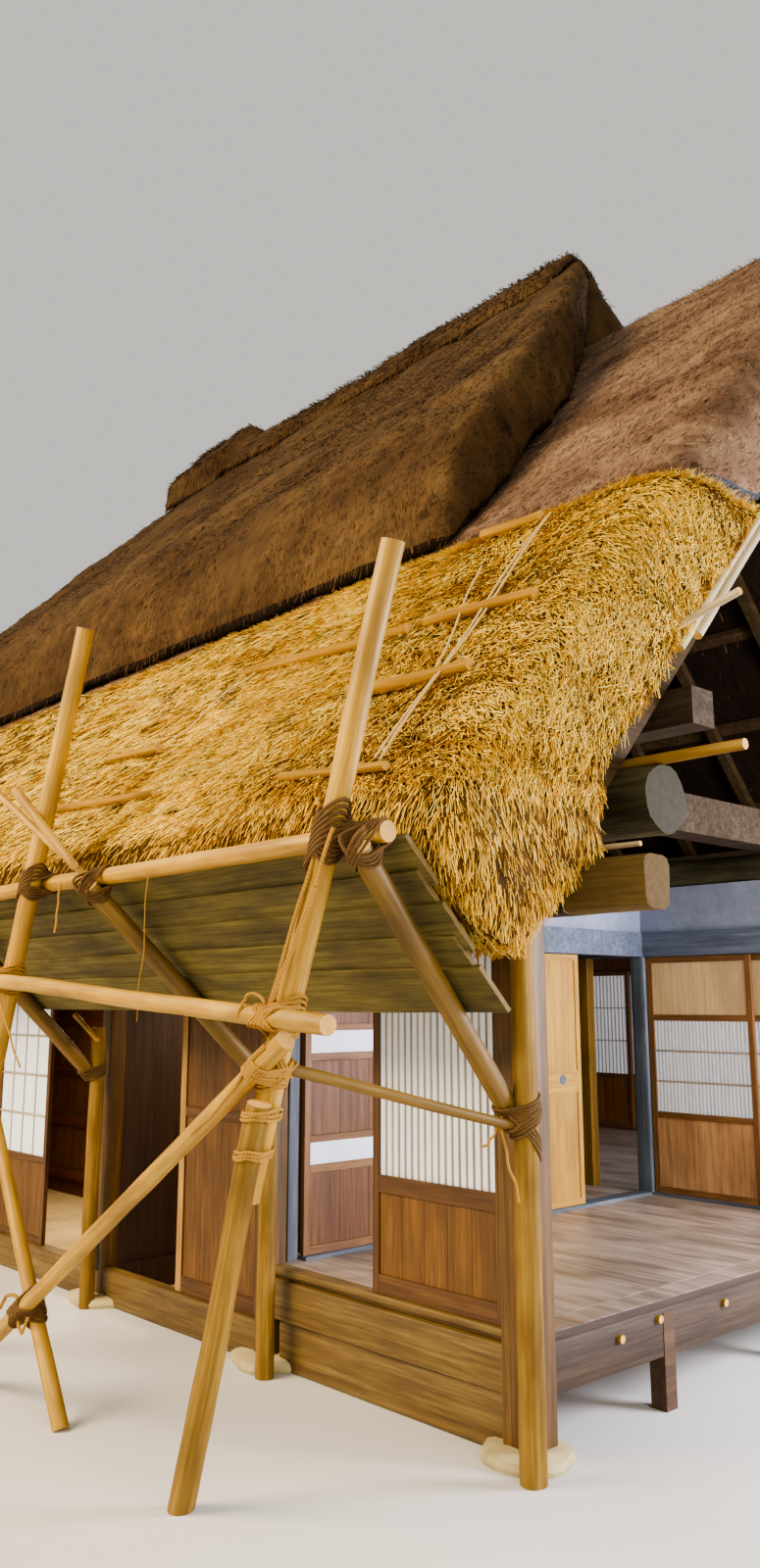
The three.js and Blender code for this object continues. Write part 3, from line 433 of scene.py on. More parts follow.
    def piece(self, name, materials, slot, body=HOUSE, stands_for=(), bevel=0.0, smooth=True):
        """Makes everything collected one object that rides a body and may stand for nodes."""
        mesh = bpy.data.meshes.new(name)
        points = np.clip(np.concatenate(self.points), LOW, HIGH)
        mesh.from_pydata(points.tolist(), [], self.faces)
        for material in materials:
            mesh.materials.append(material)
        mesh.polygons.foreach_set("material_index", self.slots)
        grain = mesh.attributes.new("grain", "FLOAT_VECTOR", "POINT")
        grain.data.foreach_set("vector", np.concatenate(self.grain).astype(np.float32).ravel())
        if smooth:
            mesh.shade_smooth()
            mesh.set_sharp_from_angle(angle=math.radians(38))
        obj = in_scene(name, mesh)
        if bevel:
            edge = obj.modifiers.new("edge", "BEVEL")
            edge.width = bevel
            edge.segments = 1
            edge.limit_method = "ANGLE"
        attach(obj, body)
        if stands_for:
            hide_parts(*stands_for)
        return obj


def across(direction):
    """Two directions square to one."""
    helper = np.array([0.0, 0.0, 1.0]) if abs(direction[2]) < 0.9 else np.array([1.0, 0.0, 0.0])
    side = np.cross(helper, direction)
    side /= np.linalg.norm(side)
    return side, np.cross(direction, side)


# Timbers
def posts():
    """The posts that show, and the mortises in them."""
    groups = (
        (("corner_post", "front_post_1", "front_post_2"), 1.0, 0.016, 0.005, POST, "post_wood"),
        (("partition_post", "room_corner_post", "cut_end_post", "partition_jamb"), 5.0, 0.01, 0.003, AGED,
         "aged_wood"))
    for names, seed, chamfer, wave, material, slot in groups:
        for i, name in enumerate(names):
            parts = Parts()
            parts.timber(*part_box(name), "Z", i + seed, chamfer=chamfer, wave=wave)
            parts.piece(f"{name}_wood", [material, DARK_END], slot, stands_for=[name])
    # Thin dark sheets on the posts' faces: painted shade standing for the mortise holes.
    marks = Parts()
    marks.board((-1.886, -0.02, 0.54), (-1.875, 0.03, 0.74), "Z")
    for x, z0, z1 in ((-BAY, 0.54, 0.74), (-2 * BAY, 0.2, 0.42)):
        marks.board((x - 0.03, -0.0655, z0), (x + 0.03, -0.06, z1), "Z")
    marks.piece("post_mortises", [SHADOW], "post_wood")


def front_timbers():
    """Sills, steps and the plate of the front wall; the plate's inner part is coloured dark for painted eave
    shadow, its outer end paler for painted light.
    """
    chamfers = {"kickboard": 0.006, "sill_beam": 0.014, "front_threshold": 0.01, "front_sill_2": 0.014,
                "front_sill_3": 0.014}
    groove_floor, step_top = 0.48, 0.485
    for i, (name, chamfer) in enumerate(chamfers.items()):
        parts = Parts()
        low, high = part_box(name)
        if name == "front_threshold":
            parts.timber((low.x, -0.015, low.z), (high.x, 0.04, step_top), "X", 20.0, chamfer=0.004)
            low = Vector((low.x, low.y, groove_floor))
        parts.timber(low, high, "X", i + 10.0, chamfer=chamfer, wave=0.004)
        parts.piece(f"{name}_wood", [SILL, DARK_END], "sill_wood", stands_for=[name])
    plate = Parts()
    low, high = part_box("front_plate")
    # From here out the plate takes the paler colour of painted light; inward of it, the dark colour of
    # painted eave shadow.
    lit_from = 0.36
    plate.timber(low, (lit_from, high.y, high.z), "X", 30.0, chamfer=0.02, wave=0.01)
    plate.timber((lit_from, low.y, low.z), high, "X", 30.0, chamfer=0.045, wave=0.012, slot=2, cap=3)
    plate.piece("front_plate_wood", [PLATE_IN_SHADE, DARK_END, PLATE_IN_LIGHT, BEAM_END], "beam_wood",
                stands_for=["front_plate"])


def logs():
    """The heavy round timbers over the rooms and the ridge pole."""
    left, log_end = -10.7, 0.645
    front_y, log_z, thick, thin = 0.355, 2.865, 0.165, 0.163
    front, middle, back, ridge = (Parts() for _ in range(4))
    front.stick((left, front_y, log_z), (log_end, front_y, log_z), thick, thin, 41.0, 20, 0.16, 0.0, 0.07)
    front.stick((-0.48, 0.345, 3.052), (HIGH[0], 0.345, 3.052), 0.03, 0.026, 42.0, 10, 0.1, 0.003, 0.05, 2, 3)
    front.piece("front_log_wood", [DARK_LOG, LOG_END, UPRIGHT, SAWN_END], "log_wood",
                stands_for=["front_log"])
    middle.stick((left, MID_Y, 2.93), (0.7, MID_Y, 2.93), 0.1, 0.098, 43.0, 18, 0.16, 0.0, 0.06)
    middle.piece("middle_log_wood", [DARK_LOG, LOG_END], "log_wood", stands_for=["middle_log"])
    back_y = DEPTH - front_y
    back.stick((left, back_y, log_z), (log_end, back_y, log_z), thick, thin, 44.0, 20, 0.16, 0.0, 0.07)
    back.piece("back_log_wood", [DARK_LOG, DARK_END], "log_wood", stands_for=["back_log"])
    low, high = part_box("ridge_pole")
    z = (low.z + high.z) / 2
    ridge.stick((low.x, MID_Y, z), (high.x, MID_Y, z), 0.076, 0.07, 45.0, 14, 0.15, 0.004, 0.05)
    ridge.piece("ridge_pole_wood", [ROOF_POLE, DARK_END], "roof_poles", stands_for=["ridge_pole"])


def floor_boards():
    """Boards laid lengthwise, with the raised door tracks at the room's edges."""
    def lay(parts, x0, x1, y0, y1):
        y = y0
        while y < y1 - 0.02:
            wide = min(0.26 * RNG.uniform(0.85, 1.15), y1 - y)
            x = x0
            while x < x1 - 0.02:
                run = min(RNG.uniform(2.2, 3.8), x1 - x)
                if x1 - x - run < 0.6:
                    run = x1 - x
                top = FLOOR_TOP - RNG.uniform(0, 0.0015)
                parts.board((x, y + 0.001, FLOOR_UNDER), (x + run - 0.002, y + wide - 0.001, top), "X")
                x += run
            y += wide
    front, back, pegs, edge = (Parts() for _ in range(4))
    lay(front, -1.885, -0.066, 0.066, 3.575)
    lay(front, -0.065, CUT_X, 0.116, 3.575)
    track = (-1.753, -0.067)
    front.board((track[0], 3.576, FLOOR_UNDER), (track[1], 3.704, 0.528), "X", 1)
    for y in (3.6, 3.64):
        front.board((track[0], y - 0.01, 0.528), (track[1], y + 0.01, 0.5302), "X", 1)
    for low, high in ((0.2, 1.753), (1.887, 3.573)):
        front.board((-1.885, low, 0.5), (-1.755, high, 0.53), "Y", 1)
    front.piece("front_room_boards", [FLOOR, AGED], "floor_boards", stands_for=["front_room_floor"],
                bevel=0.002)
    lay(back, -5.393, -1.9, 3.706, 7.212)
    lay(back, -1.899, CUT_X, 3.706, 7.212)
    lay(back, -3.574, -1.886, 1.882, 3.705)
    back.piece("back_room_boards", [FLOOR], "floor_boards", stands_for=["back_room_floor"], bevel=0.002)
    for y, z in ((0.598, 0.397), (0.912, 0.43), (1.5, 0.41), (2.2, 0.42), (2.9, 0.4)):
        pegs.stick((0.05, y, z), (0.112, y, z), 0.022, 0.02, y, 8, 0.03, 0.0, 0.1)
    pegs.piece("joist_pegs", [UPRIGHT, SAWN_END], "sill_wood")
    # The dark joist face and the ends of the boards above it, each a thin strip on the cut
    strips = ((0.089, 0.0905, 0.07, 3.55, 0.252, 0.468), (0.0895, 0.091, 0.12, 3.57, FLOOR_UNDER, 0.5075),
              (0.0895, 0.091, 3.71, 7.2, FLOOR_UNDER, 0.5075))
    for i, (x0, x1, y0, y1, z0, z1) in enumerate(strips):
        edge.timber((x0, y0, z0), (x1, y1, z1), "Y", 3.0 + i, chamfer=0.0004, wave=0.0)
    edge.piece("floor_edge_face", [FLOOR_EDGE, FLOOR_EDGE], "sill_wood")


# Doors and screens
STILE = 0.045
# Half the thickness of stiles, rails and boards
STILE_HALF = 0.015
RAIL_HALF = 0.0145
BOARD_HALF = 0.005
DOOR_BEVEL = 0.0012


class Door:
    """A sliding door drawn in its own plane: u along it, d through it."""

    def __init__(self, node, along, plane):
        self.node, self.along, self.plane = node, along, plane
        low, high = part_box(node)
        axis = "XY".index(along)
        self.u0, self.u1 = low[axis], high[axis]
        self.z0, self.z1 = low.z, high.z
        self.parts = Parts()

    def block(self, u0, u1, d0, d1, z0, z1, slot=0, grain="Z"):
        if self.along == "X":
            lows, highs = (u0, self.plane + d0, z0), (u1, self.plane + d1, z1)
        else:
            lows, highs = (self.plane + d0, u0, z0), (self.plane + d1, u1, z1)
        self.parts.board(lows, highs, self.along if grain == "U" else grain, slot)

    def frame(self, stile=STILE, rails=(), bottom=STILE):
        """Two stiles, the rails at the foot and the head, and the rails between them."""
        for u in (self.u0, self.u1 - stile):
            self.block(u, u + stile, -STILE_HALF, STILE_HALF, self.z0, self.z1)
        for low, high in ((self.z0, self.z0 + bottom), (self.z1 - STILE, self.z1), *rails):
            self.block(self.u0 + stile, self.u1 - stile, -RAIL_HALF, RAIL_HALF, low, high, grain="U")

    def boards(self, z0, z1, width, slot, stile=STILE):
        """Upright boards of about one width between the stiles."""
        u, end = self.u0 + stile, self.u1 - stile
        count = max(1, round((end - u) / width))
        wide = (end - u) / count
        for i in range(count):
            half = BOARD_HALF + RNG.uniform(0, 0.001)
            self.block(u + i * wide + 0.0008, u + (i + 1) * wide - 0.0008, -half, half, z0, z1, slot)

    def lattice(self, z0, z1, bars, rows, bar=0.008):
        """Thin upright bars and cross bars over a sheet of paper."""
        start, end = self.u0 + STILE, self.u1 - STILE
        self.block(start, end, -0.001, 0.001, z0, z1, 1)
        gap = (self.u1 - self.u0 - 2 * STILE) / (bars + 1)
        for i in range(bars):
            u = start + gap * (i + 1)
            for near, far in ((-0.010, -0.001), (0.001, 0.010)):
                self.block(u - bar / 2, u + bar / 2, near, far, z0, z1, 3)
        for i in range(rows - 1):
            z = z0 + (z1 - z0) * (i + 1) / rows
            self.block(start, end, -0.012, 0.012, z - 0.007, z + 0.007, 3, "U")

    def piece(self, slot, materials):
        """The door's visible piece, on the body that has the door's own name."""
        self.parts.piece(f"{self.node}_look", materials, slot, self.node, [self.node], bevel=DOOR_BEVEL,
                         smooth=False)


def doors():
    """The eight sliding doors, and the two fixed screens of the back wall as one piece."""
    front = Door("front_shoji", "X", 0.0)
    front.frame(rails=[(1.0, 1.085)], bottom=0.09)
    front.boards(front.z0 + 0.09, 1.0, 0.16, 2)
    front.lattice(1.085, front.z1 - STILE, 16, 1)
    front.piece("screen_paper", [DOOR_FRAME, PAPER, DOOR, GREY_BARS])

    board, wide_stile = Door("front_board_door", "X", 0.0), 0.06
    board.frame(stile=wide_stile, rails=[(1.25, 1.31)], bottom=0.09)
    board.boards(board.z0 + 0.09, 1.25, 0.2, 2, wide_stile)
    board.boards(1.31, board.z1 - STILE, 0.2, 2, wide_stile)
    board.block(board.u0, board.u0 + wide_stile, -0.0155, -STILE_HALF, board.z0, board.z1, 1)
    board.piece("door_boards", [DOOR_FRAME, PALE_FRAME, DOOR])

    white = Door("front_white_door", "X", 0.0)
    white.frame(rails=[(0.78, 0.825)])
    white.boards(white.z0 + STILE, 0.78, 0.2, 2)
    white.lattice(0.825, white.z1 - STILE, 3, 5, bar=0.006)
    white.piece("screen_paper", [DOOR_FRAME, PAPER, DOOR, GREY_BARS])

    room_edge = -1.8
    for node, plane in (("stripe_door_front", room_edge), ("stripe_door_rear", room_edge - 0.04)):
        door = Door(node, "Y", plane)
        door.frame(rails=[(0.975, 1.02), (1.145, 1.185), (1.605, 1.65), (1.78, 1.82)])
        for low, high in ((door.z0 + STILE, 0.975), (1.185, 1.605), (1.82, door.z1 - STILE)):
            door.boards(low, high, 0.2, 2)
        for low, high in ((1.02, 1.145), (1.65, 1.78)):
            door.block(door.u0 + STILE, door.u1 - STILE, -0.004, 0.004, low, high, 1)
        door.piece("door_boards", [INNER_FRAME, PAPER, RED_BOARD])

    pull = Door("pull_door", "Y", room_edge)
    pull.frame(rails=[(1.31, 1.46)])
    pull.boards(pull.z0 + STILE, 1.31, 0.42, 2)
    pull.boards(1.46, pull.z1 - STILE, 0.42, 1)
    centre = (2.575, 1.4)
    for x0, x1, r in ((0.0142, 0.0158, 0.036), (0.0146, 0.0165, 0.024)):
        start, end = (room_edge + x0, *centre), (room_edge + x1, *centre)
        pull.parts.stick(start, end, r, r, 5.0, 20, 0.01, 0.0, 0.0, 3, 3)
    pull.piece("door_boards", [PULL_BOARD, PULL_BOARD, PULL_BOARD, IRON])

    for node, plane in (("obi_shoji_left", 3.62), ("obi_shoji_right", 3.66)):
        door = Door(node, "X", plane)
        door.frame(rails=[(1.08, 1.125), (1.807, 1.852)])
        door.boards(door.z0 + STILE, 1.08, 0.4, 2)
        door.lattice(1.125, 1.807, 25, 3, bar=0.006)
        door.boards(1.852, door.z1 - STILE, 0.4, 4)
        door.piece("door_boards", [INNER_FRAME, BLUE_PAPER, INNER_BOARD, GREY_BARS, TAN_BOARD])

    low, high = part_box("back_shoji")
    screens = Parts()
    middle = (low.x + high.x) / 2
    for u0, u1, plane in ((low.x, middle + 0.02, DEPTH - 0.014), (middle - 0.02, high.x, DEPTH + 0.014)):
        leaf = Door("back_shoji", "X", plane)
        leaf.u0, leaf.u1, leaf.parts = u0, u1, screens
        leaf.frame(rails=[(1.085, 1.13)], bottom=0.07)
        leaf.boards(leaf.z0 + 0.07, 1.085, 0.2, 2)
        leaf.lattice(1.13, leaf.z1 - STILE, 14, 3, bar=0.007)
    screens.piece("back_shoji_look", [DOOR_FRAME, PAPER, RED_BOARD, GREY_BARS], "screen_paper",
                  stands_for=["back_shoji"], bevel=DOOR_BEVEL, smooth=False)


# Walls
def wall_boards():
    """Upright boards on both faces of the outer walls, between the posts."""
    outer = Parts()

    def clad(along, plane, out, u0, u1, z0, z1):
        u = u0
        while u < u1 - 0.01:
            wide = min(RNG.uniform(0.15, 0.24), u1 - u)
            if u1 - u - wide < 0.08:
                wide = u1 - u
            thick = RNG.uniform(0.006, 0.011)
            near, far = sorted((plane, plane + out * thick))
            if along == "X":
                outer.board((u + 0.001, near, z0), (u + wide - 0.001, far, z1), "Z")
            else:
                outer.board((near, u + 0.001, z0), (far, u + wide - 0.001, z1), "Z")
            u += wide

    def both_faces(along, plane, out, u0, u1, rows):
        for z0, z1 in rows:
            for way in (out, -out):
                clad(along, plane + way * WALL_SKIN, way, u0, u1, z0, z1)

    whole_wall = ((0.221, 1.079), (1.171, 2.328))
    for bay in range(6):
        left, right = -(bay + 1) * BAY + HALF_POST, -bay * BAY - HALF_POST
        for row in whole_wall:
            if bay >= 3:
                both_faces("X", 0.0, -1, left, right, [row])
            if bay != 2:
                both_faces("X", DEPTH, 1, left, right, [row])
    both_faces("X", DEPTH, 1, -5.394, -3.706, [(0.221, 0.519)])
    for bay in range(4):
        both_faces("Y", LEFT_X, -1, bay * BAY + 0.067, (bay + 1) * BAY - 0.067, whole_wall)
    outer.piece("outer_wall_boards", [WALL], "wall_boards", bevel=0.001, smooth=False)

    inner = Parts()
    rows = ((0.281, 0.699), (0.801, 1.199), (1.301, 1.699), (1.801, 2.199), (2.301, 2.56))
    for u in np.arange(-9.09, -1.9, 0.202):
        for z0, z1 in rows:
            inner.board((u, 1.7905, z0), (min(u + 0.2, -1.887), 1.7999, z1), "Z")
    inner.piece("inner_wall_boards", [RED_BOARD], "wall_boards", bevel=0.001, smooth=False)


def foundation_stones():
    """Flat river stones, one round each outer post's foot."""
    parts = Parts()
    places = [(0.02, 0.0)] + [(-i * BAY, 0.0) for i in range(1, 7)]
    places += [(-i * BAY, DEPTH) for i in range(7)] + [(LEFT_X, i * BAY) for i in range(1, 4)]
    for index, (x, y) in enumerate(places):
        outline, sides, reach = [], 22, RNG.uniform(0.19, 0.24)
        for k in range(sides):
            a = 2 * math.pi * k / sides
            r = reach * (1 + 0.22 * noise.noise((math.cos(a) * 1.1 + index * 5, math.sin(a) * 1.1, 0.0)))
            outline.append((math.cos(a) * r, math.sin(a) * r * 0.85))
        points, grain = [], []
        for share, z in ((1.0, 0.0), (1.03, 0.02), (0.97, 0.045), (0.8, 0.058), (0.4, 0.062)):
            for px, py in outline:
                rise = 0.004 * noise.noise((px * 9, py * 9, index))
                points.append((x + px * share, y + py * share, max(0.0, z + (rise if z else 0))))
                grain.append((px + index, py, z))
        parts.tube(points, grain, sides, 0, 0)
    parts.piece("base_stones", [STONE], "beaten_earth")


# Scaffold
def main_at(z):
    return np.array([-0.690 + 0.343 * z, -1.293, z])


def splice_at(z):
    return np.array([-0.568 + 0.295 * z, -1.371, z])


def second_at(z):
    return np.array([-3.25 + 0.354 * z, -1.293, z])


BRACE_FOOT = (-0.207, 1.4882)
BRACE_HEAD = (-1.27, 2.519)
# Upright's place, height and radius, and how far to its side the brace's foot and head lie
BRACKETS = ((0.205, -0.17, 2.436, 0.058, -0.068, 0.15), (-1.64, -0.165, 2.4, 0.05, 0.065, -0.08),
            (-3.56, -0.165, 1.78, 0.05, -0.03, -0.03))
MAIN = (main_at(1.18), main_at(3.68))
SPLICE = (splice_at(0.0), splice_at(1.56))
SECOND = (second_at(0.0), second_at(3.93))
LEDGER = ((-3.95, -1.1994, 2.5804), (0.44, -1.1994, 2.5804))
RAIL = ((-3.7, -1.3884, 2.147), (0.323, -1.3884, 1.862))
DIAGONAL = ((-2.72, -1.3834, 0.0), (0.066, -1.3834, 1.804))
PROP = ((-1.665, -1.3154, 0.0), (-2.594, -1.3154, 1.36))
TRANSOM = ((-0.1, -1.2356, 1.685), (0.186, -0.226, 1.42))


def scaffold_poles():
    def poles(node, sticks, seed, first=SCAFFOLD, second=SCAFFOLD):
        parts = Parts()
        for i, (start, end, r0, r1) in enumerate(sticks):
            parts.stick(start, end, r0, r1, seed + i * 2.3, 16, 0.07, 0.010, 0.06, slot=2 * i, cap=1)
        parts.piece(f"{node}_log", [first, SAWN_END, second], "scaffold_logs", stands_for=[node])

    for i, (x, y, top, r, foot, head) in enumerate(BRACKETS):
        upright = ((x, y, 0), (x, y, top), r, r * 0.92)
        brace = ((x + foot, *BRACE_FOOT), (x + head, *BRACE_HEAD), 0.049, 0.047)
        poles(f"scaffold_bracket_{i + 1}", [upright, brace], 60 + i * 9, UPRIGHT, DARK_POLE)
    poles("scaffold_ledger", [(*LEDGER, 0.044, 0.043)], 91)
    poles("scaffold_outer_pole_1", [(*MAIN, 0.054, 0.047), (*SPLICE, 0.054, 0.047)], 101, second=UPRIGHT)
    poles("scaffold_outer_pole_2", [(*SECOND, 0.060, 0.046)], 111)
    poles("scaffold_rail", [(*RAIL, 0.04, 0.04)], 121)
    poles("scaffold_cross", [(*DIAGONAL, 0.039, 0.039), (*PROP, 0.04, 0.033)], 131)
    poles("scaffold_transom", [(*TRANSOM, 0.025, 0.022)], 141, DARK_POLE)


def scaffold_boards():
    """Five planks lapped like weather boards up the braces."""
    along_brace, off_brace = np.array([-0.7179, 0.6961]), np.array([0.6961, 0.7179])
    start = np.array([-0.25, 1.53]) + 0.478 * along_brace + 0.0493 * off_brace
    rise = np.array([-0.636, 0.772])
    inward = np.array([rise[1], -rise[0]])
    up = rise - 0.09 * inward
    steps, thick, wide = 40, 0.024, 0.248
    parts = Parts()
    for i in range(5):
        foot = start + rise * 0.158 * i + inward * 0.002
        x0, x1 = -3.9 - 0.03 * (i % 2), 0.46 - 0.04 * (i % 2)
        points, grain = [], []
        for k in range(steps + 1):
            x = x0 + (x1 - x0) * k / steps
            warp = 0.004 * noise.noise((x * 0.8, i * 3.0, 0.0))
            for w, d in ((0.0, 0.0), (0.0, thick), (wide, thick), (wide, 0.0)):
                edge = 0.004 * noise.noise((x * 1.7, i * 5.0, w * 9))
                yz = foot + up * (w + edge) + inward * (d + warp)
                points.append((x, *yz))
                grain.append((x + i * 7.0, w, d + i))
        parts.tube(points, grain, 4)
    parts.piece("scaffold_planks", [PLANK, DARK_END], "scaffold_planks", stands_for=["scaffold_boards"],
                bevel=0.002)


def pole(start, end, r):
    """A pole as its two ends, its direction and its radius."""
    start, end = np.array(start, float), np.array(end, float)
    return start, end, (end - start) / np.linalg.norm(end - start), r


def nearest(stick, point):
    """The place on a pole's middle line that is nearest to a point."""
    start, end, way, _ = stick
    return start + way * min(max((point - start) @ way, 0.0), np.linalg.norm(end - start))


def crossing(first, second):
    """Halfway between the places where two poles pass closest to each other."""
    at = (first[0] + first[1]) / 2
    for _ in range(60):
        at = nearest(first, nearest(second, at))
    return (at + nearest(second, at)) / 2


def rim(stick, centre, square, out):
    """Where a pole's skin lies farthest out, in the plane through centre that is square to one direction."""
    start, _, way, r = stick
    lean = way @ square
    axis = start + way * (((centre - start) @ square) / lean)
    pull = (out @ way) / lean
    return axis + r * (out + (way - square * lean) * pull / lean) / math.sqrt(1 + pull * pull)


def lashing(parts, first, second, turns, rope, seed, slot=0):
    """Rope drawn tight round two poles that cross, in one band or in two that cross each other."""
    centre = crossing(first, second)
    depth = np.cross(first[2], second[2])
    depth /= np.linalg.norm(depth)
    for layer, square in enumerate((first[2] + second[2], first[2] - second[2])):
        square = square / np.linalg.norm(square)
        if min(abs(square @ first[2]), abs(square @ second[2])) < 0.42:
            continue
        flat = np.cross(square, depth)
        for turn in range(turns):
            middle = centre + square * (turn - (turns - 1) / 2) * rope * 1.9
            loop = []
            for k in range(37):
                t = 2 * math.pi * k / 36
                out = flat * math.cos(t) + depth * math.sin(t)
                skins = (rim(first, middle, square, out), rim(second, middle, square, out))
                wobble = noise.noise((math.cos(t) * 2, math.sin(t) * 2, seed + turn * 3 + layer * 9))
                slant = square * (0.006 * wobble + 0.4 * rope * math.sin(t + seed))
                loop.append(max(skins, key=lambda p: p @ out) + out * rope * (0.8 + 0.5 * layer) + slant)
            parts.rope(loop, rope, slot)


def tail(parts, start, end, sag, radius, seed):
    """A length of rope that hangs from a knot or is drawn between two points."""
    start, end = np.array(start, float), np.array(end, float)
    path, steps = [], 14
    for k in range(steps + 1):
        t = k / steps
        wave = 0.02 * np.array([noise.noise((t * 3, seed, j * 5.0)) for j in range(3)])
        path.append(start + (end - start) * t + (wave - [0, 0, sag]) * math.sin(math.pi * t))
    return parts.rope(path, radius)


def free_end(name, start, end, sag, radius, seed):
    """A loose end of a lashing, as a rope piece of its own."""
    parts = Parts()
    path = tail(parts, start, end, sag, radius, seed)
    piece = parts.piece(name, [ROPE], "scaffold_logs")


def wrap(parts, first, second, r0, r1, rope, seed):
    """One turn of rope drawn tight round two poles that lie side by side."""
    loop = []
    for k in range(33):
        t = 2 * math.pi * k / 32
        way = np.array([math.cos(t), math.sin(t), 0.0])
        centre, r = max(((first, r0), (second, r1)), key=lambda pole: pole[0] @ way + pole[1])
        loop.append(centre + way * (r + rope * 0.8) + np.array([0, 0, 0.012 * noise.noise((t, seed, 1.0))]))
    parts.rope(loop, rope)


def lashings():
    main, second, ledger = pole(*MAIN, 0.051), pole(*SECOND, 0.053), pole(*LEDGER, 0.044)
    rail, diagonal = pole(*RAIL, 0.041), pole(*DIAGONAL, 0.039)
    prop, transom = pole(*PROP, 0.037), pole(*TRANSOM, 0.025)
    parts = Parts()
    lashing(parts, main, ledger, 7, 0.008, 1, 1)
    lashing(parts, main, rail, 4, 0.007, 2)
    lashing(parts, main, diagonal, 6, 0.007, 3)
    lashing(parts, second, rail, 4, 0.007, 4)
    lashing(parts, second, ledger, 5, 0.007, 5, 1)
    lashing(parts, diagonal, prop, 5, 0.008, 6, 1)
    for i, (x, y, top, r, foot, head) in enumerate(BRACKETS):
        upright = pole((x, y, 0), (x, y, top), r)
        brace = pole((x + foot, *BRACE_FOOT), (x + head, *BRACE_HEAD), 0.049)
        lashing(parts, upright, brace, 6, 0.007, 7 + i, 1)
        lashing(parts, brace, ledger, 4, 0.007, 10 + i, 1)
        if i == 0:
            lashing(parts, upright, transom, 4, 0.007, 14, 1)
    lashing(parts, main, transom, 3, 0.007, 15)
    for i, z in enumerate((1.35, 1.363, 1.376, 1.5, 1.513, 1.526)):
        wrap(parts, main_at(z), splice_at(z), 0.056, 0.051, 0.007, 3.0 * i)
    parts.piece("scaffold_lashings", [ROPE, OLD_ROPE], "scaffold_logs")

    ends = Parts()
    rail_knot = (-0.11, -1.43, 1.72)
    drawn = (((0.19, -1.335, 2.56), (-0.045, -1.385, 1.92), 0.0, 0.009, 1),
             ((0.275, -1.33, 2.6), (0.225, -1.375, 2.375), -0.015, 0.009, 2),
             ((0.225, -1.375, 2.375), (-0.025, -1.39, 1.93), 0.0, 0.009, 13),
             (rail_knot, (-0.01, -1.44, 1.78), 0.0, 0.011, 4))
    for rope in drawn:
        tail(ends, *rope)
    ends.piece("rope_ends", [ROPE], "scaffold_logs")
    loose = (("rope_end_on_rail", (-0.045, -1.4, 1.94), (-0.19, -1.43, 1.89), -0.06, 0.007, 3),
             ("rope_end_on_diagonal", (-0.12, -1.43, 1.70), (-0.49, -1.43, 1.42), 0.03, 0.006, 5),
             ("rope_end_on_upright_long", (0.15, -0.27, 1.42), (0.27, -0.3, 1.12), 0.0, 0.006, 6),
             ("rope_end_on_upright_short", (0.16, -0.27, 1.46), (0.08, -0.31, 1.33), 0.02, 0.006, 7),
             ("rope_end_on_prop_left", (-1.98, -1.4, 0.5), (-2.14, -1.43, 0.46), -0.06, 0.009, 8),
             ("rope_end_on_prop_right", (-1.99, -1.4, 0.45), (-1.84, -1.43, 0.47), 0.07, 0.009, 9),
             ("rope_end_on_pole_2", (-2.47, -1.385, 2.01), (-2.1, -1.41, 1.62), 0.03, 0.006, 10),
             ("string_below_ledger", (-1.19, -1.25, 2.55), (-1.21, -1.27, 1.855), 0.0, 0.003, 11),
             ("rope_end_below_ledger", (-2.0, -1.29, 2.56), (-1.98, -1.32, 2.3), 0.0, 0.007, 12))
    for rope in loose:
        free_end(*rope)

    sticks = Parts()
    sticks.stick((-2.46, -1.36, 3.114), (-1.73, -1.36, 2.627), 0.028, 0.024, 151, 10, 0.08, 0.01, 0.06)
    sticks.stick((-2.68, -1.385, 3.138), (-1.75, -1.31, 2.603), 0.022, 0.018, 153, 10, 0.08, 0.01, 0.06)
    sticks.stick((-3.72, -0.26, 1.86), (-3.4, -0.26, 1.70), 0.02, 0.014, 155, 10, 0.05, 0.004, 0.06)
    sticks.piece("small_sticks", [SCAFFOLD, SAWN_END], "scaffold_logs")


# Thatch
def spread_mesh(node, name, voxel, relax):
    """The solid of a node as one even skin with rounded edges."""
    joined = bmesh.new()
    joined.from_mesh(NODES[node].data)
    bmesh.ops.remove_doubles(joined, verts=joined.verts, dist=0.0005)
    mesh = bpy.data.meshes.new(name)
    joined.to_mesh(mesh)
    joined.free()
    obj = in_scene(name, mesh)
    remesh = obj.modifiers.new("remesh", "REMESH")
    remesh.mode = "VOXEL"
    remesh.voxel_size = voxel
    smooth = obj.modifiers.new("relax", "SMOOTH")
    smooth.factor = 0.5
    smooth.iterations = relax
    depsgraph = bpy.context.evaluated_depsgraph_get()
    even = bpy.data.meshes.new_from_object(obj.evaluated_get(depsgraph))
    obj.modifiers.clear()
    obj.data = even
    bpy.data.meshes.remove(mesh)
    return obj


def arrays(mesh):
    """Points and normals of a mesh, one row each."""
    points = np.empty(len(mesh.vertices) * 3)
    mesh.vertices.foreach_get("co", points)
    normals = np.empty(len(mesh.vertices) * 3)
    mesh.vertices.foreach_get("normal", normals)
    return points.reshape(-1, 3), normals.reshape(-1, 3)


def weather(obj, lumps, seed):
    """Moves the skin in and out: lumps is a list of sizes and heights."""
    points, normals = arrays(obj.data)
    moved = np.zeros(len(points))
    for size, height in lumps:
        for i, p in enumerate(points):
            moved[i] += height * noise.noise((p[0] / size + seed, p[1] / size, p[2] / size))
    points = np.clip(points + normals * moved[:, None], LOW, HIGH)
    obj.data.vertices.foreach_set("co", points.ravel())
    obj.data.update()


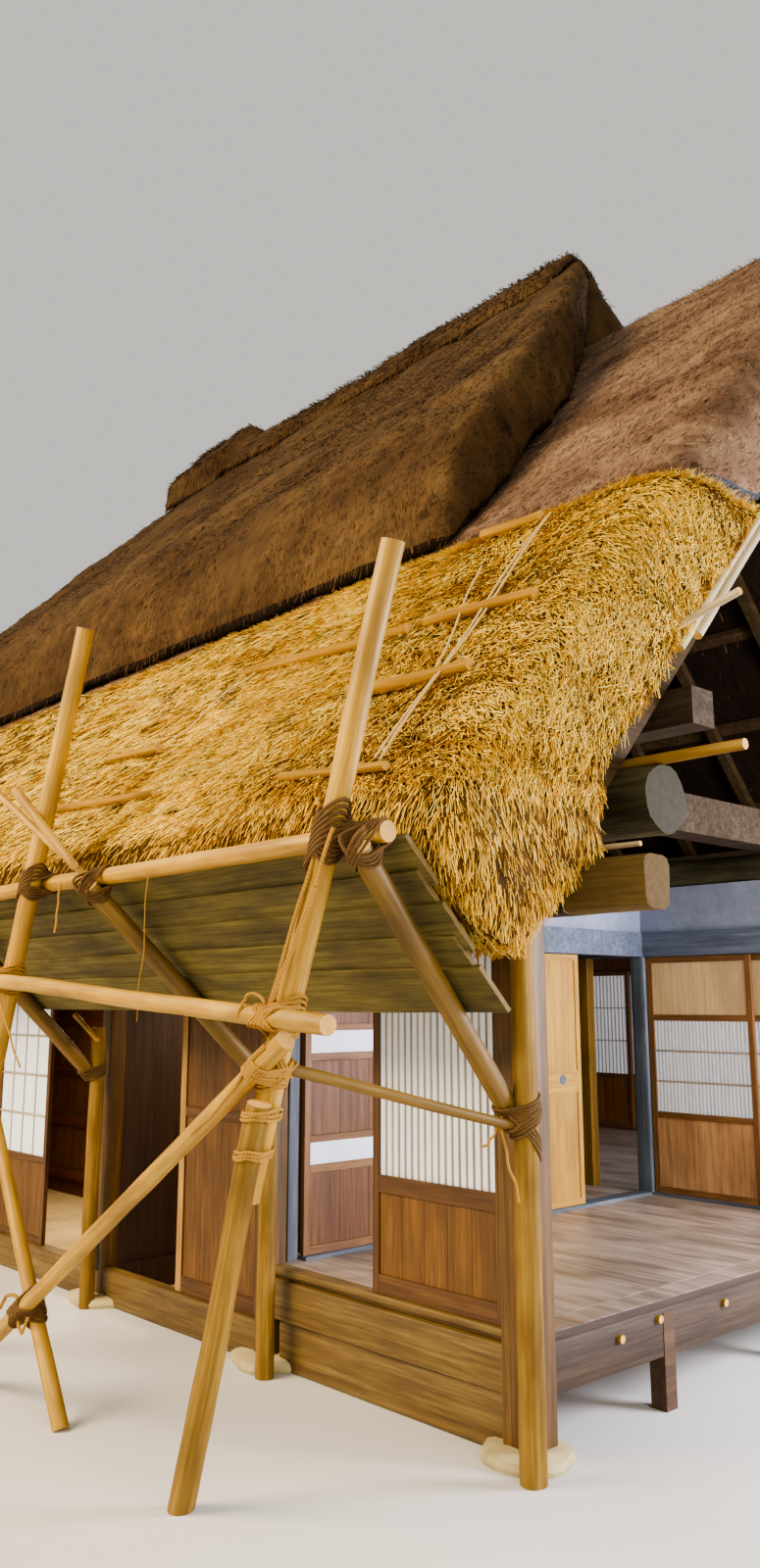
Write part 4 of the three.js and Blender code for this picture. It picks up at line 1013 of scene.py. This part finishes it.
def sample(mesh, count, weight):
    """Random places on the skin, more where weight is higher."""
    mesh.calc_loop_triangles()
    triangles = np.empty(len(mesh.loop_triangles) * 3, int)
    mesh.loop_triangles.foreach_get("vertices", triangles)
    points, _ = arrays(mesh)
    corner = points[triangles.reshape(-1, 3)]
    facing = np.cross(corner[:, 1] - corner[:, 0], corner[:, 2] - corner[:, 0])
    area = np.linalg.norm(facing, axis=1) / 2
    facing /= np.maximum(1e-12, 2 * area)[:, None]
    share = area * weight(corner.mean(axis=1), facing)
    chosen = RNG.choice(len(area), count, p=share / share.sum())
    r1, r2 = np.sqrt(RNG.random(count))[:, None], RNG.random(count)[:, None]
    corner = corner[chosen]
    places = corner[:, 0] * (1 - r1) + corner[:, 1] * r1 * (1 - r2) + corner[:, 2] * r1 * r2
    return places, facing[chosen]


def hug(tree, points, reach):
    """Brings points that stand more than reach off the solid back to that distance."""
    for i, point in enumerate(points):
        near, normal, _, distance = tree.find_nearest(Vector(point))
        away = Vector(point) - near
        if away.dot(normal) > 0 and distance > reach[i]:
            points[i] = near + away * (reach[i] / distance)
    return points


def rows_of_shade(places):
    """How much painted shade darkens stems under the wavy rows in which the thatch was laid, and in a painted
    shadow where the slope laps over the eave.
    """
    x, z = places[:, 0], places[:, 2]
    wave = np.sin(13.0 * z + 2.4 * np.sin(1.7 * x) + 1.1 * np.sin(5.3 * x + 1.0))
    rows = 0.42 * np.clip(wave - 0.5, 0, 1) * (1 + 0.6 * np.sin(3.1 * x + 0.7 * z))
    # A band of painted shadow under the lap of the slope over the eave, at the front right.
    lap_shadow = np.exp(-((z - 2.98 - 0.05 * np.sin(4.0 * x)) / 0.045) ** 2) * np.clip((x + 1.3) / 0.7, 0, 1)
    return rows + 0.4 * lap_shadow * (places[:, 1] < 0.2)


class Reed:
    """Short flat stems that lie in a skin, their cut ends a little proud of it."""

    def __init__(self, skin, solid, material, slot):
        self.skin, self.material, self.slot = skin, material, slot
        self.tree = BVHTree.FromObject(NODES[solid], bpy.context.evaluated_depsgraph_get())

    def grow(self, name, count, where, way, lengths, widths, proud, tint):
        """Adds count stems: where weighs the skin, way turns them, proud is how far they stand out."""
        roll, sink = 0.5, 0.012
        places, facing = sample(self.skin, count, where)
        ways = way(places, facing)
        sides = np.cross(ways, facing)
        sides /= np.maximum(1e-9, np.linalg.norm(sides, axis=1))[:, None]
        turn = RNG.normal(0, roll, count)[:, None]
        sides = sides * np.cos(turn) + facing * np.sin(turn)
        length = RNG.uniform(*lengths, count)[:, None]
        half = RNG.uniform(*widths, count)[:, None] / 2
        lift = RNG.uniform(*proud, count)
        root = places - facing * sink
        tip = root + ways * length + facing * (sink + lift)[:, None]
        tip = hug(self.tree, tip, lift + sink)
        rows = [root - sides * half, root + sides * half, tip - sides * half * 0.6, tip + sides * half * 0.6]
        points = np.clip(np.stack(rows, axis=1).reshape(-1, 3), LOW + INSET, HIGH - INSET)
        quads = (np.arange(count) * 4)[:, None] + [0, 1, 3, 2]
        mesh = bpy.data.meshes.new(name)
        mesh.vertices.add(len(points))
        mesh.vertices.foreach_set("co", points.ravel())
        mesh.loops.add(quads.size)
        mesh.loops.foreach_set("vertex_index", quads.ravel())
        mesh.polygons.add(count)
        mesh.polygons.foreach_set("loop_start", np.arange(count) * 4)
        mesh.update(calc_edges=True)
        shade = np.repeat(RNG.beta(*tint, count), 4).reshape(-1, 4)
        # The stems' root ends get painted shade, where they go in under the reed above.
        shade[:, :2] -= 0.2
        shade -= rows_of_shade(places)[:, None]
        attribute = mesh.attributes.new("tint", "FLOAT", "POINT")
        attribute.data.foreach_set("value", np.clip(shade, 0, 1).ravel().astype(np.float32))
        mesh.materials.append(self.material)
        obj = in_scene(name, mesh)
        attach(obj, HOUSE)


def dress_skin(obj, material, node, tint):
    """Gives the bed below the stems its material and a tint on each point; it stands for the node."""
    obj.data.materials.clear()
    obj.data.materials.append(material)
    attribute = obj.data.attributes.new("tint", "FLOAT", "POINT")
    points, _ = arrays(obj.data)
    values = [tint + 0.25 * noise.noise((p[0] * 9, p[1] * 9, p[2] * 9)) for p in points]
    attribute.data.foreach_set("value", np.array(values, np.float32))
    obj.data.shade_smooth()
    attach(obj, HOUSE)
    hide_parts(node)


def scattered(lying, facing, spread):
    """Unit directions, each turned at random about its face by about spread radians."""
    lying /= np.maximum(1e-9, np.linalg.norm(lying, axis=1))[:, None]
    turn = RNG.normal(0, spread, len(facing))[:, None]
    return lying * np.cos(turn) + np.cross(facing, lying) * np.sin(turn)


def heading(pull, spread):
    """Stems that follow pull along the face, turned at random by spread radians."""
    pull = np.array(pull) / np.linalg.norm(pull)

    def ways(places, facing):
        lying = pull - facing * (facing @ pull)[:, None]
        steep = np.linalg.norm(lying, axis=1) < 0.2
        lying[steep] = np.cross(facing[steep], np.array([1.0, 0.0, 0.0]))
        return scattered(lying, facing, spread)
    return ways


def fanned(start, end, turned, spread):
    """Stems that run down the slope and turn outwards between X = start and X = end at the verge."""
    down = np.array([-0.06, -1.0, -0.6])

    def ways(places, facing):
        share = np.clip((places[:, 0] - start) / (end - start), 0, 1)[:, None]
        pull = down + share * np.array([turned, 0.25, -0.1])
        pull /= np.linalg.norm(pull, axis=1)[:, None]
        lying = pull - facing * np.sum(facing * pull, axis=1)[:, None] * 0.85
        return scattered(lying, facing, spread)
    return ways


def layer(node, name, voxel, relax, lumps, seed, material, slot):
    """The weathered skin of one thatch layer, and the reed that grows on it."""
    skin = spread_mesh(node, f"{name}_thatch_skin", voxel, relax)
    weather(skin, lumps, seed)
    return skin, Reed(skin.data, node, material, slot)


def new_thatch():
    """Golden reed in three bands, loose stems over it and the trimmed eave."""
    skin, reed = layer("thatch_new", "new", 0.075, 4, [(0.45, 0.035), (0.14, 0.02)], 1.0, NEW_THATCH,
                       "new_thatch")

    def slope(near, far, low=2.85):
        return lambda c, n: (
            (c[:, 0] > near) & (c[:, 0] <= far) & (n[:, 1] < 0.6) & (c[:, 2] > low)).astype(float)

    def eave(c, n):
        return ((c[:, 2] < 2.95) & (n[:, 1] < 0.75)) * np.where(c[:, 0] > -1.5, 1.8, 0.5)
    laid = fanned(-1.5, 0.3, 1.3, 0.38)
    mostly = (2.0, 2.2)
    bands = (("right", 88000, -2.2, 0.6, (0.06, 0.16), (0.003, 0.006), (0.0, 0.028)),
             ("middle", 36000, -5.2, -2.2, (0.07, 0.18), (0.004, 0.008), (0.0, 0.026)),
             ("left", 22000, -13, -5.2, (0.1, 0.2), (0.006, 0.01), (0.0, 0.02)))
    for side, count, near, far, lengths, widths, proud in bands:
        reed.grow(f"new_reed_{side}", count, slope(near, far), laid, lengths, widths, proud, mostly)
    reed.grow("loose_reed", 3600, slope(-4.5, 0.6, 3.15), fanned(-1.8, 0.2, 1.3, 0.45), (0.12, 0.3),
              (0.002, 0.004), (0.01, 0.035), (3.0, 1.8))
    hanging = heading((0.06, -0.1, -1.0), 0.2)
    reed.material = EAVE_THATCH
    reed.grow("eave_reed", 44000, eave, hanging, (0.05, 0.15), (0.003, 0.006), (0.0, 0.024), mostly)
    dress_skin(skin, NEW_BED, "thatch_new", 0.1)


def worn_thatch():
    """The smooth grey layer at the upper right."""
    skin, reed = layer("thatch_worn", "worn", 0.1, 3, [(0.6, 0.02), (0.16, 0.012)], 2.0, WORN_THATCH,
                       "worn_thatch")

    def bare(c, n):
        return ((c[:, 0] > -2.6) & (n[:, 2] > 0.3)) | (n[:, 0] > 0.5)
    reed.grow("worn_reed", 32000, bare, heading((-0.05, -1.0, -0.9), 0.22), (0.05, 0.15), (0.003, 0.007),
              (0.0, 0.008), (2.6, 2.6))
    dress_skin(skin, WORN_SKIN, "thatch_worn", 0.36)


def old_thatch():
    """The thick dark layer of the front, and the back, the left hip and the ridge cap."""
    skin, reed = layer("thatch_old", "old", 0.085, 4, [(1.3, 0.05), (0.4, 0.03), (0.11, 0.014)], 3.0,
                       OLD_THATCH, "old_thatch")
    reed.grow("old_reed", 42000, lambda c, n: np.where(c[:, 0] > -5.5, 1.5, 0.7) * (n[:, 2] > -0.3),
              heading((-0.05, -1.0, -0.9), 0.3), (0.04, 0.12), (0.004, 0.008), (0.0, 0.012), (2.8, 3.0))
    dress_skin(skin, OLD_SKIN, "thatch_old", 0.32)
    others = (("thatch_back", "back", 24000, 0.14, (0.0, 1.0, -0.9)),
              ("thatch_left", "left", 18000, 0.13, (-1.0, 0.0, -1.0)),
              ("ridge_cap", "ridge", 11000, 0.075, (-0.1, -1.0, -0.9)))
    for node, name, stems, voxel, pull in others:
        skin, reed = layer(node, name, voxel, 3, [(0.9, 0.04), (0.25, 0.02)], 4.0, OLD_THATCH, "old_thatch")
        reed.grow(f"{name}_reed", stems, lambda c, n: np.where(n[:, 2] > -0.25, 1.0, 0.1), heading(pull, 0.3),
                  (0.06, 0.18), (0.006, 0.012), (0.0, 0.015), (2.6, 2.8))
        dress_skin(skin, OLD_SKIN, node, 0.32)


def under(y):
    """Height of the front slope's underside."""
    return UNDER_Z + PITCH * y


def roof_details():
    """Foot poles tied along the slope, the cords that hold them, the verge pole and small stubs."""
    def top(x, y, extra):
        return np.array((x, y, under(y) + BASE_THICK + 0.06 + extra))
    poles = Parts()
    spans = (((-0.62, -0.90), (0.18, -0.97), 0.024), ((-0.55, -0.45), (0.22, -0.49), 0.036),
             ((-0.50, -0.05), (0.29, -0.11), 0.032), ((-2.25, 0.07), (-0.62, -0.06), 0.034),
             ((-0.70, 0.63), (-0.24, 0.6), 0.036), ((-3.2, -0.73), (-1.9, -0.80), 0.028),
             ((-3.2, -0.39), (-2.5, -0.42), 0.032))
    for i, (a, b, r) in enumerate(spans):
        poles.stick(top(*a, 0.045), top(*b, 0.045), r, r * 0.9, 161 + i * 2.1, 12, 0.07, 0.012, 0.06)
    poles.piece("thatch_foot_poles", [GOLD_POLE, SAWN_END], "roof_poles")
    cords = Parts()
    for i, (a, b) in enumerate((((0.12, -0.95), (-0.13, 0.55)), ((0.09, -0.95), (-0.16, 0.55)),
                                ((0.0, -0.5), (-0.42, 0.3)), ((-2.4, -0.4), (-2.1, 0.1)))):
        path = [top(*(np.array(a) + (np.array(b) - a) * t), 0.06 + 0.015 * math.sin(9 * t + i))
                for t in np.linspace(0, 1, 16)]
        cords.rope(path, 0.006)
    cords.piece("thatch_cords", [CORD], "new_thatch")
    verge = Parts()
    for i, (y0, y1, drop) in enumerate(((0.757, 3.3, 0.04), (0.9, 2.9, 0.1))):
        x = 0.50 + 0.02 * i
        verge.stick((x, y0, under(y0) - drop), (x, y1, under(y1) - drop), 0.026, 0.022, 181 + i, 10, 0.1,
                    0.006, 0.06)
    verge.stick((0.1, 0.75, 3.72), (0.93, 0.62, 3.86), 0.022, 0.02, 185, 10, 0.08, 0.004, 0.05)
    verge.stick((0.35, 0.03, 2.62), (0.72, 0.03, 2.62), 0.014, 0.012, 187, 8, 0.05, 0.002, 0.05)
    verge.piece("verge_poles", [PALE_POLE, SAWN_END], "roof_poles")


# Finishes of the nodes that keep their own shape
def plain_nodes():
    """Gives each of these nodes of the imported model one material."""
    outer = wood("outer wall wood", "2c1a0e", "55331b", "7a5230", along="Z")
    # The rafters' near-black colours are painted shade under the roof.
    rafters = {axis: wood(f"rafters along {axis}", "2a2014", "463824", "64523a", along=axis, gloss=0.1)
               for axis in "XY"}
    finishes = {
        "earth_floor": EARTH, "plaster_band": PLASTER, "room_lintel": AGED_BEAM,
        "tie_beam_2": TIE_BEAM, "tie_beam_4": TIE_BEAM,
        "front_wall_left": outer, "back_wall": outer, "left_wall": outer,
        "roof_frame_front": rafters["Y"], "roof_frame_back": rafters["Y"], "roof_frame_left": rafters["X"],
        "floor_frame": wood("floor frame wood", "2c1c10", "4f3620", "70512f", along="Y"),
        "passage_wall": wood("passage wall wood", "4a3210", "86641e", "b08a3c", along="Z"),
        "doma_back_wall": wood("doma wall wood", "3a1a0c", "66361a", "86522c", along="X"),
        "doma_side_wall": wood("doma side wood", "20140c", "3c2616", "583c24", along="Z"),
        "purlin_frame": wood("purlin wood", "221c18", "42382c", "665646", along="X", gloss=0.1),
    }
    for name, material in finishes.items():
        NODES[name].data.materials.clear()
        NODES[name].data.materials.append(material)


# Light, floor and camera
def stage():
    """A pale floor, a soft sky, six lamps and the photograph's own view."""
    ground = Shader("pale floor", 0.9)
    clouds = ground.noise((0.5, 0.5, 0.5), "object", 3.0)
    material = ground.finish(ground.ramp(clouds, [(0.3, "cfcdc8"), (0.7, "d8d6d2")]))
    mesh = bpy.data.meshes.new("floor")
    reach, level = 60.0, -0.002
    corners = ((-reach, -reach), (reach, -reach), (reach, reach), (-reach, reach))
    mesh.from_pydata([(*corner, level) for corner in corners], [], [(0, 1, 2, 3)])
    mesh.materials.append(material)
    in_scene("floor", mesh)

    world = bpy.data.worlds.new("studio")
    bpy.context.scene.world = world
    world.use_nodes = True
    background = world.node_tree.nodes["Background"]
    background.inputs["Color"].default_value = linear("e6e4df")
    background.inputs["Strength"].default_value = 0.75
    lights = (("key", (-4.5, -9.0, 8.5), (-2.5, 0.5, 2.5), 6.0, 2400, "ffe8c4"),
              ("fill", (9.0, -3.0, 5.0), (-1.0, 2.5, 2.0), 6.0, 620, "f2ecdc"),
              ("room", (3.4, 3.4, 2.5), (-1.6, 2.6, 0.9), 2.2, 560, "f4f0ff"),
              ("entrance", (-2.8, 0.95, 2.2), (-2.8, 0.95, 0.0), 0.8, 26, "ffe8c8"),
              ("earth room", (-5.6, 0.9, 2.2), (-5.4, 1.2, 0.0), 1.2, 80, "ffe8c8"),
              ("back", (-3.0, 16.0, 9.0), (-4.0, 3.6, 4.0), 8.0, 700, "f4f4ff"))
    for name, place, target, size, power, code in lights:
        data = bpy.data.lights.new(name, "AREA")
        data.size = size
        data.energy = power
        data.color = linear(code)[:3]
        lamp = in_scene(name, data)
        lamp.location = place
        lamp.rotation_euler = (Vector(target) - Vector(place)).to_track_quat("-Z", "Y").to_euler()
    bpy.context.scene.view_settings.view_transform = "AgX"
    bpy.context.scene.view_settings.look = "AgX - Medium High Contrast"

    data = bpy.data.cameras.new("camera")
    data.lens = 26.26
    data.sensor_width = 36.0
    camera = in_scene("camera", data)
    forward = Vector((-0.725, 0.663, 0.188))
    camera.location = (3.581, -4.113, 1.942)
    camera.rotation_euler = forward.to_track_quat("-Z", "Y").to_euler()
    bpy.context.scene.camera = camera


posts()
front_timbers()
logs()
floor_boards()
doors()
wall_boards()
foundation_stones()
scaffold_poles()
scaffold_boards()
lashings()
new_thatch()
worn_thatch()
old_thatch()
roof_details()
plain_nodes()
stage()
